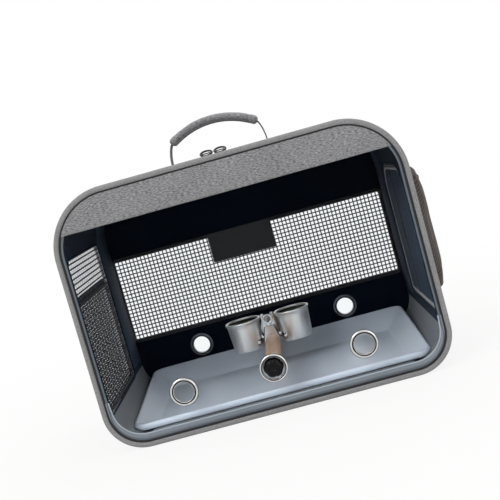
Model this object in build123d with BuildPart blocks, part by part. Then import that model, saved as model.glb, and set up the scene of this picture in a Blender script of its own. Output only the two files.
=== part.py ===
"""Bird travel carrier: padded fabric wrap with a clear drop-down front, a mesh back,
a zipped side door, a carrying handle, a wooden perch with two steel cups, and a tray.

Frame: origin on the ground under the middle of the carrier, X to the right,
the front faces -Y, Z up. Millimetres.
"""

from build123d import *
from math import asin, atan2, cos, degrees, radians, sin, sqrt
import os

os.makedirs("parts", exist_ok=True)

# ---------------------------------------------------------------- driving dimensions
# Seam outline of the front and back panels; everything soft is offset from it
seam_width = 404.0
seam_height = 294.0
top_radius = 65.0
bottom_radius = 40.0
depth = 280.0
piping_radius = 4.0

# Padded wrap
wall_thickness = 4.0
piping_proud = 3.0          # how far the piping stands out past the wrap
wall_over_opening = 4.0     # the side walls end this far above their openings
lining_gap = 0.1
lining_thickness = 0.8
lining_change = 38.0        # grey lining up to this far above the seam, navy above that

# Floor
base_side_margin = 42.0     # in from the seam line at each side
base_end_margin = 22.0
board_thickness = 3.0
board_side_gap = 2.0
board_end_gap = 3.0

# Back panel
back_thickness = 4.0
back_lining = 1.0
mesh_rise = 76.0            # the window starts this far above the seam
mesh_height = 118.0
mesh_margin = 5.0           # between the window's ends and the side seams
mesh_pitch = 16.8           # every third cord of the woven mesh
mesh_cord = 2.4
mesh_thickness = 1.0
mesh_hem = 2.0
label_width = 94.0
label_height = 42.0
label_centre = -11.0
label_thickness = 0.8
label_overlap = 4.0

# Grommets: one size, front and back
grommet_hole = 13.0
grommet_barrel = 13.9
grommet_flange = 17.0
grommet_lip = 1.5
grommet_spacing = 108.4
grommet_rise = 45.0         # of the eyelets' row above the seam
seat_clearance = 0.1

# Front door
window_thickness = 1.0
band_height = 37.0
band_thickness = 1.0
strip_thickness = 1.5
strip_outer = 3.0           # the zip strips lie this far out from the seam
strip_clearance = 0.3
chain_half = 2.0            # one side of a closed zip chain
chain_gap = 0.4
chain_outer = 3.8
chain_inner = 1.2
door_strip_width = 5.5
wrap_strip_width = 3.6
zip_start_gap = 0.8         # between the cloth hinge and the zip

# Zip sliders and pulls
slider_length = 11.0
slider_width = 8.0
slider_body = 2.2
slider_lift = 0.5
bridge_radius = 0.7
bridge_rise = 4.1
pull_eye_inner = 1.1
pull_eye_outer = 2.2
pull_eye_width = 1.6
pull_length = 15.0
pull_width = 6.0
pull_thickness = 1.2
pull_rest = 18.0            # degrees below level, resting on the wrap
slider_spacing = 16.4
slider_centre = -1.1

# Side openings: a mesh window on the left and a door on the right
opening_front_margin = 13.5
opening_back_margin = 64.0
opening_headroom = 62.0     # down from the top seam
window_rise = 42.0          # up from the bottom seam
door_rise = 54.0
opening_radius = 38.0
opening_foot_radius = 6.0

# Left side
side_mesh_hem = 3.0
pocket_bulge = 10.0
pocket_sheet = 1.0
pocket_overlap = 3.0        # sewn to the wall this far outside the window
pocket_height = 143.5
pocket_radius = 12.0
hem_height = 12.5
hem_thickness = 1.2

# Right side door
side_chain_half = 1.2
side_panel_thickness = 3.0
side_panel_recess = 0.4
side_chain_depth = 2.2
zip_tail = 12.0             # the zip runs on this far below the door
zip_tail_end = 0.3
side_pocket_bulge = 20.0
side_pocket_margin = 13.0   # inside the opening's front and back edges
side_pocket_end_margin = 4.0
side_pocket_radius = 30.0
side_pocket_edge = 9.0
pocket_zip_height = 6.0
pocket_zip_length = 118.0
pocket_zip_drop = 18.0
pocket_zip_thickness = 0.8
side_slider_drop = 6.2      # parked this far below the door's hinge line

# Handle
grip_half_span = 57.0
strap_splay = 8.5           # how much wider apart the straps' feet stand
grip_end_lift = 31.5        # of the grip's ends above the wrap
grip_rise = 17.7            # of the grip's middle above its ends
grip_thickness = 11.0
grip_width = 30.0
grip_edge = 4.62            # rounding along its four long edges
webbing_width = 25.0
webbing_thickness = 2.2
webbing_clearance = 0.3
patch_length = 30.0
patch_width = 34.0
patch_thickness = 1.5

# Perch
dowel_radius = 10.0
stud_radius = 3.0
stud_depth = 18.0
stud_clearance = 0.05
knob_radius = 12.2
knob_length = 11.0
knob_proud = 4.0            # past the middle of the door's piping
knob_lobes = 9
lobe_radius = 1.9
rear_knob_radius = 18.0
rear_knob_length = 11.0
washer_radius = 18.0
washer_thickness = 2.0
washer_gap = 0.5

# Cup clamp on the perch
saddle_front = 12.0
saddle_length = 13.0
saddle_half_width = 7.1
saddle_lift = 13.2          # of its top above the perch
saddle_sheet = 1.2
saddle_gap = 0.15
saddle_shoulder_rise = 4.0
screw_setback = 6.0
screw_radius = 2.0
screw_depth = 6.0
screw_collar = 3.6
screw_collar_height = 2.4
ring_radius = 5.6
ring_wire = 1.2
ring_rise = 7.8
hanger_sheet = 1.0
hanger_height = 11.8
hanger_setback = 1.0
hanger_length = 10.0
hanger_margin = 0.5
hanger_foot = 4.0
rivet_radius = 1.2
rivet_head_radius = 1.92

# Cups
cup_height = 38.0
cup_drop = 1.0              # of the cup's top below the hanger's
cup_bottom_radius = 19.0
cup_top_radius = 23.0
cup_sheet = 0.8
cup_rim = 1.3
cup_gap = 0.8               # between the cup's rim and its own hook
hook_sheet = 1.0
hook_gap = 0.3
hook_width = 9.0
hook_lip = 8.0
band_low = 4.0
band_high = 11.0
band_angle = 100.0
dome_angle = 44.0
dome_radius = 2.4

# Tray
tray_clearance = 0.1
tray_wall = 1.6
tray_side_gap = 19.0        # from its rim to the seam line at each side
tray_front_gap = 30.7
tray_back_gap = 10.0
tray_side_draft = 23.0      # how far the base is set in from the rim
tray_front_draft = 13.0
tray_back_draft = 35.0
tray_front_height = 7.0     # of the rim above the floor board
tray_back_height = 23.0
tray_base_radius = 14.0
tray_rim_radius = 22.0
tray_lip = 4.0

# ---------------------------------------------------------------- places that follow
seam_base = 2 * piping_radius
seam_top = seam_base + seam_height
seam_middle = seam_base + seam_height / 2
half_width = seam_width / 2
quarter_turn = 90.0
front_y = -(depth / 2 - piping_radius)
rear_y = -front_y

wall_outer = 2 * piping_radius - piping_proud
wall_inner = wall_outer - wall_thickness
wall_face = half_width + wall_outer
lining_outer = wall_inner - lining_gap
lining_inner = lining_outer - lining_thickness
cabin_front = front_y + piping_radius + strip_clearance
wrap_back = rear_y - piping_radius
back_inside = rear_y - back_thickness / 2
lining_inside = back_inside - back_lining

door_strip_front = front_y + piping_radius
door_strip_back = door_strip_front + door_strip_width
door_chain_back = door_strip_back + chain_half
wrap_chain_front = door_chain_back + chain_gap
wrap_chain_back = wrap_chain_front + chain_half
wrap_front = wrap_chain_back + wrap_strip_width
chain_line = door_chain_back + chain_gap / 2
hinge_strip_top = seam_base + bottom_radius
door_zip_foot = hinge_strip_top + zip_start_gap

opening_front = wrap_front + opening_front_margin
opening_back = wrap_back - opening_back_margin
opening_top = seam_top - opening_headroom
window_bottom = seam_base + window_rise
door_bottom = seam_base + door_rise
wall_top = opening_top + wall_over_opening
wall_bottom = seam_base + bottom_radius
lining_split = seam_base + lining_change

mesh_bottom = seam_base + mesh_rise
mesh_top = mesh_bottom + mesh_height
mesh_half_width = half_width - mesh_margin
grommet_height = seam_base + grommet_rise

base_length = seam_width - 2 * base_side_margin
base_depth = depth - 2 * base_end_margin
board_bottom = seam_base
floor_top = board_bottom + board_thickness

pieces = []


def keep(piece, label):
    """Name a finished sub-part and put it in the list that is exported."""
    piece.part.label = label
    pieces.append(piece.part)


def cross_plane(y):
    """Plane across the carrier at y, facing forward: local x is X and local y is Z."""
    return Plane.XZ.offset(-y)


def side_plane(x):
    """Plane along the side at x, facing right: local x is Y and local y is Z."""
    return Plane.YZ.offset(x)


def seam_face(grow):
    """The seam outline, grown outwards by an amount."""
    with BuildSketch(mode=Mode.PRIVATE) as face:
        with Locations((0, seam_middle)):
            Rectangle(seam_width + 2 * grow, seam_height + 2 * grow)
        fillet(face.vertices().group_by(Axis.Y)[-1], radius=top_radius + grow)
        fillet(face.vertices().group_by(Axis.Y)[0], radius=bottom_radius + grow)
    return face.sketch


def opening_face(bottom, inset):
    """A side opening's outline above its bottom edge, shrunk inwards by an amount."""
    length = opening_back - opening_front - 2 * inset
    height = opening_top - bottom - 2 * inset
    middle = ((opening_front + opening_back) / 2, (bottom + opening_top) / 2)
    with BuildSketch(mode=Mode.PRIVATE) as face:
        with Locations(middle):
            Rectangle(length, height)
        fillet(face.vertices().group_by(Axis.Y)[-1], radius=opening_radius - inset)
        fillet(face.vertices().group_by(Axis.Y)[0], radius=opening_foot_radius - inset)
    return face.sketch


def zip_tails(clearance):
    """Front and back limits of the two slots that the side zip runs on into."""
    width = 2 * side_chain_half + chain_gap + 2 * seat_clearance
    return ((opening_front + clearance, opening_front + width - clearance),
            (opening_back - width + clearance, opening_back - clearance))


def span_face(low, high):
    """A plain rectangle between two corners."""
    with BuildSketch(mode=Mode.PRIVATE) as face:
        with Locations(((low[0] + high[0]) / 2, (low[1] + high[1]) / 2)):
            Rectangle(high[0] - low[0], high[1] - low[1])
    return face.sketch


def seam_band(outer, inner, y_front, y_back, z_low=None, z_high=None):
    """A band that follows the seam outline, optionally only between two heights."""
    with BuildPart() as band:
        with BuildSketch(cross_plane(y_back)):
            add(seam_face(outer))
            add(seam_face(inner), mode=Mode.SUBTRACT)
        extrude(amount=y_back - y_front)
        if z_low is not None:
            split(bisect_by=Plane.XY.offset(z_low), keep=Keep.TOP)
        if z_high is not None:
            split(bisect_by=Plane.XY.offset(z_high), keep=Keep.BOTTOM)
    return band


def seam_tube(y):
    """Piping: a round cord that runs all the way round just outside the seam."""
    loop = cross_plane(y) * seam_face(piping_radius).face().outer_wire()
    with BuildPart() as tube:
        with BuildSketch(Plane(origin=loop @ 0, z_dir=loop % 0)):
            Circle(piping_radius)
        sweep(path=loop)
    return tube


def cord_grid(columns, rows, centre, frame):
    """The open squares of a mesh, kept inside a frame outline."""
    with BuildSketch(mode=Mode.PRIVATE) as squares:
        with Locations(centre):
            with GridLocations(mesh_pitch, mesh_pitch, columns, rows):
                Rectangle(mesh_pitch - mesh_cord, mesh_pitch - mesh_cord)
        add(frame, mode=Mode.INTERSECT)
    return squares.sketch


# ---------------------------------------------------------------- padded wrap
top_wall = seam_band(wall_outer, wall_inner, wrap_front, wrap_back, z_low=wall_top)
keep(top_wall, "top_wall")

bottom_wall = seam_band(wall_outer, wall_inner, wrap_front, wrap_back, z_high=wall_bottom)
keep(bottom_wall, "bottom_wall")

for side, kept, bottom in (("left", Keep.BOTTOM, window_bottom), ("right", Keep.TOP, door_bottom)):
    with BuildPart() as side_wall:
        add(seam_band(wall_outer, wall_inner, wrap_front, wrap_back, wall_bottom, wall_top).part)
        split(bisect_by=Plane.YZ, keep=kept)
        with BuildSketch(Plane.YZ):
            add(opening_face(bottom, 0))
            if side == "right":
                for start, end in zip_tails(0):
                    add(span_face((start, bottom - zip_tail), (end, bottom + zip_tail)))
        extrude(amount=wall_face, both=True, mode=Mode.SUBTRACT)
    keep(side_wall, f"{side}_wall")

with BuildPart() as base_panel:
    with BuildSketch():
        RectangleRounded(base_length, base_depth, bottom_radius / 2)
    extrude(amount=seam_base - wall_outer)
keep(base_panel, "base_panel")

rear_piping = seam_tube(rear_y)
keep(rear_piping, "rear_piping")

# ---------------------------------------------------------------- linings and floor
cabin_length = back_inside - cabin_front

with BuildPart() as cabin_lining:
    add(seam_band(lining_outer, lining_inner, cabin_front, lining_inside, z_low=lining_split).part)
    for bottom, reach in ((window_bottom, -wall_face), (door_bottom, wall_face)):
        with BuildSketch(Plane.YZ):
            add(opening_face(bottom, 0))
        extrude(amount=reach, mode=Mode.SUBTRACT)
keep(cabin_lining, "cabin_lining")

splash_lining = seam_band(
    lining_outer, lining_inner, cabin_front, lining_inside, z_high=lining_split
)
keep(splash_lining, "splash_lining")

board_half = half_width - bottom_radius
board_front = cabin_front + board_end_gap
board_back = lining_inside - board_side_gap
with BuildPart() as floor_board:
    with BuildSketch(Plane.XY.offset(board_bottom)):
        add(span_face((-board_half, board_front), (board_half, board_back)))
    extrude(amount=board_thickness)
    fillet(floor_board.edges().filter_by(Axis.Z), radius=board_thickness)
keep(floor_board, "floor_board")

# ---------------------------------------------------------------- back panel
mesh_middle = (0, (mesh_bottom + mesh_top) / 2)
grommet_places = [(-grommet_spacing, grommet_height), (0, grommet_height),
                  (grommet_spacing, grommet_height)]

with BuildPart() as back_panel:
    with BuildSketch(cross_plane(rear_y + back_thickness / 2)):
        add(seam_face(-seat_clearance))
        add(span_face((-mesh_half_width, mesh_bottom), (mesh_half_width, mesh_top)),
            mode=Mode.SUBTRACT)
        with Locations(*grommet_places):
            Circle(grommet_barrel + seat_clearance, mode=Mode.SUBTRACT)
    extrude(amount=back_thickness + back_lining)
keep(back_panel, "back_panel")

mesh_columns = int(2 * mesh_half_width / mesh_pitch)
mesh_rows = int((mesh_top - mesh_bottom) / mesh_pitch)
mesh_edge = mesh_half_width - seat_clearance
mesh_inside = mesh_edge - mesh_hem
with BuildPart() as back_mesh:
    with BuildSketch(cross_plane(rear_y + mesh_thickness / 2)):
        add(span_face((-mesh_edge, mesh_bottom + seat_clearance),
                      (mesh_edge, mesh_top - seat_clearance)))
        inner_frame = span_face((-mesh_inside, mesh_bottom + mesh_hem),
                                (mesh_inside, mesh_top - mesh_hem))
        add(cord_grid(mesh_columns, mesh_rows, mesh_middle, inner_frame), mode=Mode.SUBTRACT)
    extrude(amount=mesh_thickness)
keep(back_mesh, "back_mesh")

with BuildPart() as label_patch:
    with BuildSketch(cross_plane(lining_inside)):
        with Locations((label_centre, mesh_top + label_overlap - label_height / 2)):
            RectangleRounded(label_width, label_height, lining_thickness)
    extrude(amount=label_thickness)
keep(label_patch, "label_patch")


def grommet_ring(cloth_front, cloth_back):
    """Half section of a two-part metal eyelet clamped on the cloth between two faces."""
    front = cloth_front - seat_clearance
    back = cloth_back + seat_clearance
    crown = grommet_flange - grommet_lip
    with BuildSketch(mode=Mode.PRIVATE) as section:
        with BuildLine():
            Polyline((grommet_hole, cloth_front - grommet_lip), (crown, cloth_front - grommet_lip),
                     (grommet_flange, front), (grommet_barrel, front),
                     (grommet_barrel, back), (grommet_flange, back),
                     (crown, cloth_back + grommet_lip), (grommet_hole, cloth_back + grommet_lip),
                     close=True)
        make_face()
    return section.sketch


def grommet_row(cloth_front, cloth_back):
    """Three eyelets in a row, each turned about an axis that runs front to back."""
    section = grommet_ring(cloth_front, cloth_back)
    with BuildPart() as row:
        for x, z in grommet_places:
            plane = Plane(origin=(x, 0, z), x_dir=(1, 0, 0), z_dir=(0, 0, 1))
            with BuildSketch(plane):
                add(section)
            revolve(axis=Axis((x, 0, z), (0, 1, 0)))
    return row


rear_grommets = grommet_row(lining_inside, rear_y + back_thickness / 2)
keep(rear_grommets, "rear_grommets")

# ---------------------------------------------------------------- left side
mesh_x = half_width + (wall_outer + wall_inner) / 2
side_columns = int((opening_back - opening_front) / mesh_pitch)
side_rows = int((opening_top - window_bottom) / mesh_pitch)
side_middle = ((opening_front + opening_back) / 2, (window_bottom + opening_top) / 2)
with BuildPart() as left_mesh:
    with BuildSketch(side_plane(-mesh_x - mesh_thickness / 2)):
        add(opening_face(window_bottom, seat_clearance))
        mesh_frame = opening_face(window_bottom, side_mesh_hem)
        add(cord_grid(side_columns, side_rows, side_middle, mesh_frame), mode=Mode.SUBTRACT)
    extrude(amount=mesh_thickness)
keep(left_mesh, "left_mesh")

pocket_face = -wall_face - pocket_bulge
pocket_front = opening_front - pocket_overlap
pocket_back = opening_back + pocket_overlap
pocket_bottom = window_bottom - pocket_overlap
pocket_top = pocket_bottom + pocket_height
with BuildPart() as left_pocket:
    with BuildSketch(side_plane(pocket_face)) as pocket_outline:
        add(span_face((pocket_front, pocket_bottom), (pocket_back, pocket_top)))
        fillet(pocket_outline.vertices().group_by(Axis.Y)[0], radius=pocket_radius)
    extrude(amount=pocket_bulge)
    with BuildSketch(side_plane(pocket_face + pocket_sheet)) as pocket_hollow:
        add(span_face((pocket_front + pocket_sheet, pocket_bottom + pocket_sheet),
                      (pocket_back - pocket_sheet, pocket_top)))
        fillet(pocket_hollow.vertices().group_by(Axis.Y)[0], radius=pocket_radius - pocket_sheet)
    extrude(amount=pocket_bulge, mode=Mode.SUBTRACT)
keep(left_pocket, "left_pocket")

with BuildPart() as pocket_hem:
    with BuildSketch(side_plane(pocket_face - hem_thickness)):
        add(span_face((pocket_front, pocket_top - hem_height), (pocket_back, pocket_top)))
    extrude(amount=hem_thickness)
keep(pocket_hem, "pocket_hem")

# ---------------------------------------------------------------- front zip and door
front_zip_tape = seam_band(strip_outer, strip_outer - strip_thickness,
                           wrap_chain_back, wrap_front, z_low=hinge_strip_top)
keep(front_zip_tape, "front_zip_tape")

front_zip_chain = seam_band(chain_outer, chain_inner,
                            wrap_chain_front, wrap_chain_back, z_low=door_zip_foot)
keep(front_zip_chain, "front_zip_chain")

door_hinge_strip = seam_band(strip_outer, strip_outer - strip_thickness,
                             cabin_front, wrap_front, z_high=hinge_strip_top)
keep(door_hinge_strip, "door_hinge_strip")

door_piping = seam_tube(front_y)
keep(door_piping, "door_piping")

window_front = front_y - window_thickness / 2
window_back = front_y + window_thickness / 2
with BuildPart() as door_window:
    with BuildSketch(cross_plane(window_back)):
        add(seam_face(-seat_clearance))
        with Locations(*grommet_places):
            Circle(grommet_barrel + seat_clearance, mode=Mode.SUBTRACT)
    extrude(amount=window_thickness)
keep(door_window, "door_window")

with BuildPart() as door_band:
    with BuildSketch(cross_plane(window_front)):
        add(seam_face(-seat_clearance))
    extrude(amount=band_thickness)
    split(bisect_by=Plane.XY.offset(seam_top - band_height), keep=Keep.TOP)
keep(door_band, "door_band")

door_grommets = grommet_row(window_front, window_back)
keep(door_grommets, "door_grommets")

door_zip_strip = seam_band(strip_outer, strip_outer - strip_thickness,
                           door_strip_front, door_strip_back, z_low=door_zip_foot)
keep(door_zip_strip, "door_zip_strip")

door_zip_chain = seam_band(chain_outer, chain_inner,
                           door_strip_back, door_chain_back, z_low=door_zip_foot)
keep(door_zip_chain, "door_zip_chain")


def zip_slider(plane):
    """A zip slider on a chain that runs along local x, with a wire bridge on its back."""
    with BuildPart(plane) as slider:
        with BuildSketch(plane):
            RectangleRounded(slider_length, slider_width, slider_width / 4)
        extrude(amount=slider_body)
        fillet(slider.faces().sort_by(Axis((0, 0, 0), tuple(plane.z_dir)))[-1].edges(),
               radius=slider_body / 4)
        post = slider_length / 2 - bridge_radius
        with Locations((-post, 0, slider_body), (post, 0, slider_body)):
            Cylinder(bridge_radius, bridge_rise, align=(Align.CENTER, Align.CENTER, Align.MIN))
        with Locations((0, 0, slider_body + bridge_rise)):
            Cylinder(bridge_radius, 2 * post, rotation=(0, 90, 0))
        with Locations((-post, 0, slider_body + bridge_rise), (post, 0, slider_body + bridge_rise)):
            Sphere(bridge_radius)
    return slider


def zip_pull(plane):
    """A flat pull tab whose eye is closed round the bridge; local z is the tab's length."""
    with BuildPart(plane) as pull:
        Cylinder(pull_eye_outer, pull_eye_width, rotation=(0, 90, 0))
        with Locations((0, 0, pull_eye_inner)):
            Box(pull_eye_width, pull_thickness, pull_length / 3,
                align=(Align.CENTER, Align.CENTER, Align.MIN))
        with Locations((0, 0, pull_length / 3)):
            Box(pull_width, pull_thickness, pull_length * 2 / 3,
                align=(Align.CENTER, Align.CENTER, Align.MIN))
        Cylinder(pull_eye_inner, 2 * pull_eye_width, rotation=(0, 90, 0), mode=Mode.SUBTRACT)
    return pull


slider_base = seam_top + chain_outer + slider_lift
bridge_height = slider_base + slider_body + bridge_rise
for side, sign in (("left", -1), ("right", 1)):
    slider_x = slider_centre + sign * slider_spacing / 2
    slider = zip_slider(Plane(origin=(slider_x, chain_line, slider_base)))
    keep(slider, f"zip_slider_{side}")
    tab_dir = (0, cos(radians(pull_rest)), -sin(radians(pull_rest)))
    pull = zip_pull(Plane(origin=(slider_x, chain_line, bridge_height),
                          x_dir=(1, 0, 0), z_dir=tab_dir))
    keep(pull, f"zip_pull_{side}")

# ---------------------------------------------------------------- right side door
panel_outside = wall_face - side_panel_recess
panel_inside = panel_outside - side_panel_thickness
chain_inside = (panel_outside + panel_inside) / 2 - side_chain_depth / 2
door_chain_inset = seat_clearance + side_chain_half + chain_gap
panel_inset = door_chain_inset + side_chain_half + seat_clearance
chain_foot = door_bottom + opening_foot_radius


def side_chain(outer_inset, inner_inset):
    """One side of the zip round the door's two uprights and its arch."""
    with BuildPart() as chain:
        with BuildSketch(side_plane(chain_inside)):
            add(opening_face(door_bottom, outer_inset))
            add(opening_face(door_bottom, inner_inset), mode=Mode.SUBTRACT)
        extrude(amount=side_chain_depth)
        split(bisect_by=Plane.XY.offset(chain_foot), keep=Keep.TOP)
    return chain


# The fixed side of the zip goes on below the door as a closed tail in a slot of its own
with BuildPart() as side_zip_chain:
    add(side_chain(seat_clearance, seat_clearance + side_chain_half).part)
    with BuildSketch(side_plane(chain_inside)):
        for start, end in ((opening_front, opening_front + side_chain_half),
                           (opening_back - side_chain_half, opening_back)):
            edge = seat_clearance if start == opening_front else -seat_clearance
            add(span_face((start + edge, door_bottom), (end + edge, chain_foot)))
        for start, end in zip_tails(seat_clearance):
            add(span_face((start, door_bottom - zip_tail + zip_tail_end),
                          (end, door_bottom)))
    extrude(amount=side_chain_depth)
keep(side_zip_chain, "side_zip_chain")

side_door_chain = side_chain(door_chain_inset, door_chain_inset + side_chain_half)
keep(side_door_chain, "side_door_chain")

with BuildPart() as side_door_panel:
    with BuildSketch(side_plane(panel_inside)):
        add(opening_face(door_bottom, panel_inset))
    extrude(amount=side_panel_thickness)
keep(side_door_panel, "side_door_panel")

strip_foot = opening_foot_radius
with BuildPart() as side_hinge_strip:
    with BuildSketch(side_plane(chain_inside)):
        add(span_face((opening_front + strip_foot, door_bottom + seat_clearance),
                      (opening_back - strip_foot, door_bottom + panel_inset - seat_clearance)))
    extrude(amount=strip_thickness)
keep(side_hinge_strip, "side_hinge_strip")

pocket_outside = panel_outside + side_pocket_bulge
side_pocket_front = opening_front + side_pocket_margin
side_pocket_back = opening_back - side_pocket_margin
side_pocket_bottom = door_bottom + side_pocket_end_margin
side_pocket_top = opening_top - side_pocket_end_margin
with BuildPart() as side_pocket:
    with BuildSketch(side_plane(panel_outside)) as side_outline:
        add(span_face((side_pocket_front, side_pocket_bottom), (side_pocket_back, side_pocket_top)))
        fillet(side_outline.vertices(), radius=side_pocket_radius)
    extrude(amount=side_pocket_bulge)
    fillet(side_pocket.faces().sort_by(Axis.X)[-1].edges(), radius=side_pocket_edge)
keep(side_pocket, "side_pocket")

with BuildPart() as side_pocket_zip:
    zip_centre = ((side_pocket_front + side_pocket_back) / 2, side_pocket_top - pocket_zip_drop)
    with BuildSketch(side_plane(pocket_outside)):
        with Locations(zip_centre):
            SlotOverall(pocket_zip_length, pocket_zip_height)
    extrude(amount=pocket_zip_thickness)
keep(side_pocket_zip, "side_pocket_zip")

side_chain_line = opening_back - door_chain_inset + chain_gap / 2
side_slider_x = wall_face + slider_lift / 2
side_bridge_x = side_slider_x + slider_body + bridge_rise
side_slider_z = door_bottom - side_slider_drop
side_slider = zip_slider(Plane(origin=(side_slider_x, side_chain_line, side_slider_z),
                               x_dir=(0, 0, 1), z_dir=(1, 0, 0)))
keep(side_slider, "side_zip_slider")

side_tab_dir = (-sin(radians(pull_rest)), cos(radians(pull_rest)), 0)
side_pull = zip_pull(Plane(origin=(side_bridge_x, side_chain_line, side_slider_z),
                           x_dir=(0, 0, 1), z_dir=side_tab_dir))
keep(side_pull, "side_zip_pull")

# ---------------------------------------------------------------- handle
wrap_top = seam_top + wall_outer
grip_end_height = wrap_top + grip_end_lift
grip_radius = (grip_half_span**2 + grip_rise**2) / (2 * grip_rise)
grip_lean = degrees(asin(grip_half_span / grip_radius))
grip_centre = (0, grip_end_height + grip_rise - grip_radius)
handle_spread = grip_half_span + strap_splay


def arch_slice(thickness):
    """A curved bar of a given thickness along the grip's arc, seen from the front."""
    with BuildSketch(mode=Mode.PRIVATE) as arch:
        with BuildLine():
            start = quarter_turn - grip_lean
            low = CenterArc(grip_centre, grip_radius - thickness / 2, start, 2 * grip_lean)
            high = CenterArc(grip_centre, grip_radius + thickness / 2, start, 2 * grip_lean)
            Line(low @ 0, high @ 0)
            Line(low @ 1, high @ 1)
        make_face()
    return arch.sketch


slot_thickness = webbing_thickness + 2 * webbing_clearance
slot_width = webbing_width + 2 * webbing_clearance
with BuildPart() as handle_grip:
    with BuildSketch(cross_plane(grip_width / 2)):
        add(arch_slice(grip_thickness))
    extrude(amount=grip_width)
    long_edges = handle_grip.edges().filter_by(GeomType.CIRCLE)
    fillet(long_edges, radius=grip_edge)
    with BuildSketch(cross_plane(slot_width / 2)):
        add(arch_slice(slot_thickness))
    extrude(amount=slot_width, mode=Mode.SUBTRACT)
keep(handle_grip, "handle_grip")

with BuildPart() as handle_webbing:
    with BuildSketch(cross_plane(webbing_width / 2)):
        add(arch_slice(webbing_thickness))
    extrude(amount=webbing_width)
keep(handle_webbing, "handle_webbing")

strap_top = (grip_half_span, grip_end_height)
strap_lean = (cos(radians(grip_lean)), sin(radians(grip_lean)))
strap_foot_z = wrap_top + patch_thickness
with BuildPart() as handle_straps:
    with BuildSketch(cross_plane(webbing_width / 2)):
        with BuildLine() as strap_line:
            bend = Spline(strap_top, (handle_spread, strap_foot_z),
                          tangents=((strap_lean[0], -strap_lean[1]), (0.1, -1)))
        trace(strap_line.line, webbing_thickness)
        trim_half = webbing_thickness
        add(span_face((0, strap_foot_z - trim_half), (2 * handle_spread, strap_foot_z)),
            mode=Mode.SUBTRACT)
        add(arch_slice(grip_thickness), mode=Mode.SUBTRACT)
        mirror(about=Plane.YZ)
    extrude(amount=webbing_width)
keep(handle_straps, "handle_straps")

with BuildPart() as handle_patches:
    with BuildSketch(Plane.XY.offset(wrap_top)):
        with Locations((-handle_spread, 0), (handle_spread, 0)):
            RectangleRounded(patch_length, patch_width, patch_thickness)
    extrude(amount=patch_thickness)
keep(handle_patches, "handle_patches")

# ---------------------------------------------------------------- perch
screw_y = saddle_front + screw_setback
dowel_front = front_y - knob_proud + knob_length
dowel_back = lining_inside - grommet_lip - washer_gap - washer_thickness
with BuildPart() as perch_dowel:
    with BuildSketch(cross_plane(dowel_back)):
        with Locations((0, grommet_height)):
            Circle(dowel_radius)
    extrude(amount=dowel_back - dowel_front)
    for end in (dowel_front + stud_depth, dowel_back):
        with BuildSketch(cross_plane(end)):
            with Locations((0, grommet_height)):
                Circle(stud_radius + stud_clearance)
        extrude(amount=stud_depth, mode=Mode.SUBTRACT)
    with BuildSketch(Plane.XY.offset(grommet_height + dowel_radius)):
        with Locations((0, screw_y)):
            Circle(screw_radius + stud_clearance)
    extrude(amount=-screw_depth, mode=Mode.SUBTRACT)
keep(perch_dowel, "perch_dowel")


def perch_stud(y_low, y_high):
    """A threaded stud on the perch axis between two depths."""
    with BuildPart() as stud:
        with BuildSketch(cross_plane(y_high)):
            with Locations((0, grommet_height)):
                Circle(stud_radius)
        extrude(amount=y_high - y_low)
    return stud.part


with BuildPart() as perch_front_knob:
    with BuildSketch(cross_plane(dowel_front)):
        with Locations((0, grommet_height)):
            Circle(knob_radius)
            with PolarLocations(knob_radius + lobe_radius / 2, knob_lobes):
                Circle(lobe_radius, mode=Mode.SUBTRACT)
    extrude(amount=knob_length)
    fillet(perch_front_knob.faces().sort_by(Axis.Y)[0].edges(), radius=lobe_radius / 2)
    add(perch_stud(dowel_front, dowel_front + stud_depth))
keep(perch_front_knob, "perch_front_knob")

with BuildPart() as perch_washer:
    with BuildSketch(cross_plane(dowel_back + washer_thickness)):
        with Locations((0, grommet_height)):
            Circle(washer_radius)
            Circle(stud_radius + stud_clearance, mode=Mode.SUBTRACT)
    extrude(amount=washer_thickness)
keep(perch_washer, "perch_washer")

rear_knob_front = rear_y + back_thickness / 2 + grommet_lip + strip_clearance
with BuildPart() as perch_rear_knob:
    with BuildSketch(cross_plane(rear_knob_front + rear_knob_length)):
        with Locations((0, grommet_height)):
            Circle(rear_knob_radius)
            with PolarLocations(rear_knob_radius + lobe_radius, knob_lobes):
                Circle(2 * lobe_radius, mode=Mode.SUBTRACT)
    extrude(amount=rear_knob_length)
    fillet(perch_rear_knob.faces().sort_by(Axis.Y)[-1].edges(), radius=lobe_radius / 2)
    add(perch_stud(dowel_back - stud_depth, rear_knob_front))
keep(perch_rear_knob, "perch_rear_knob")

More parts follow.
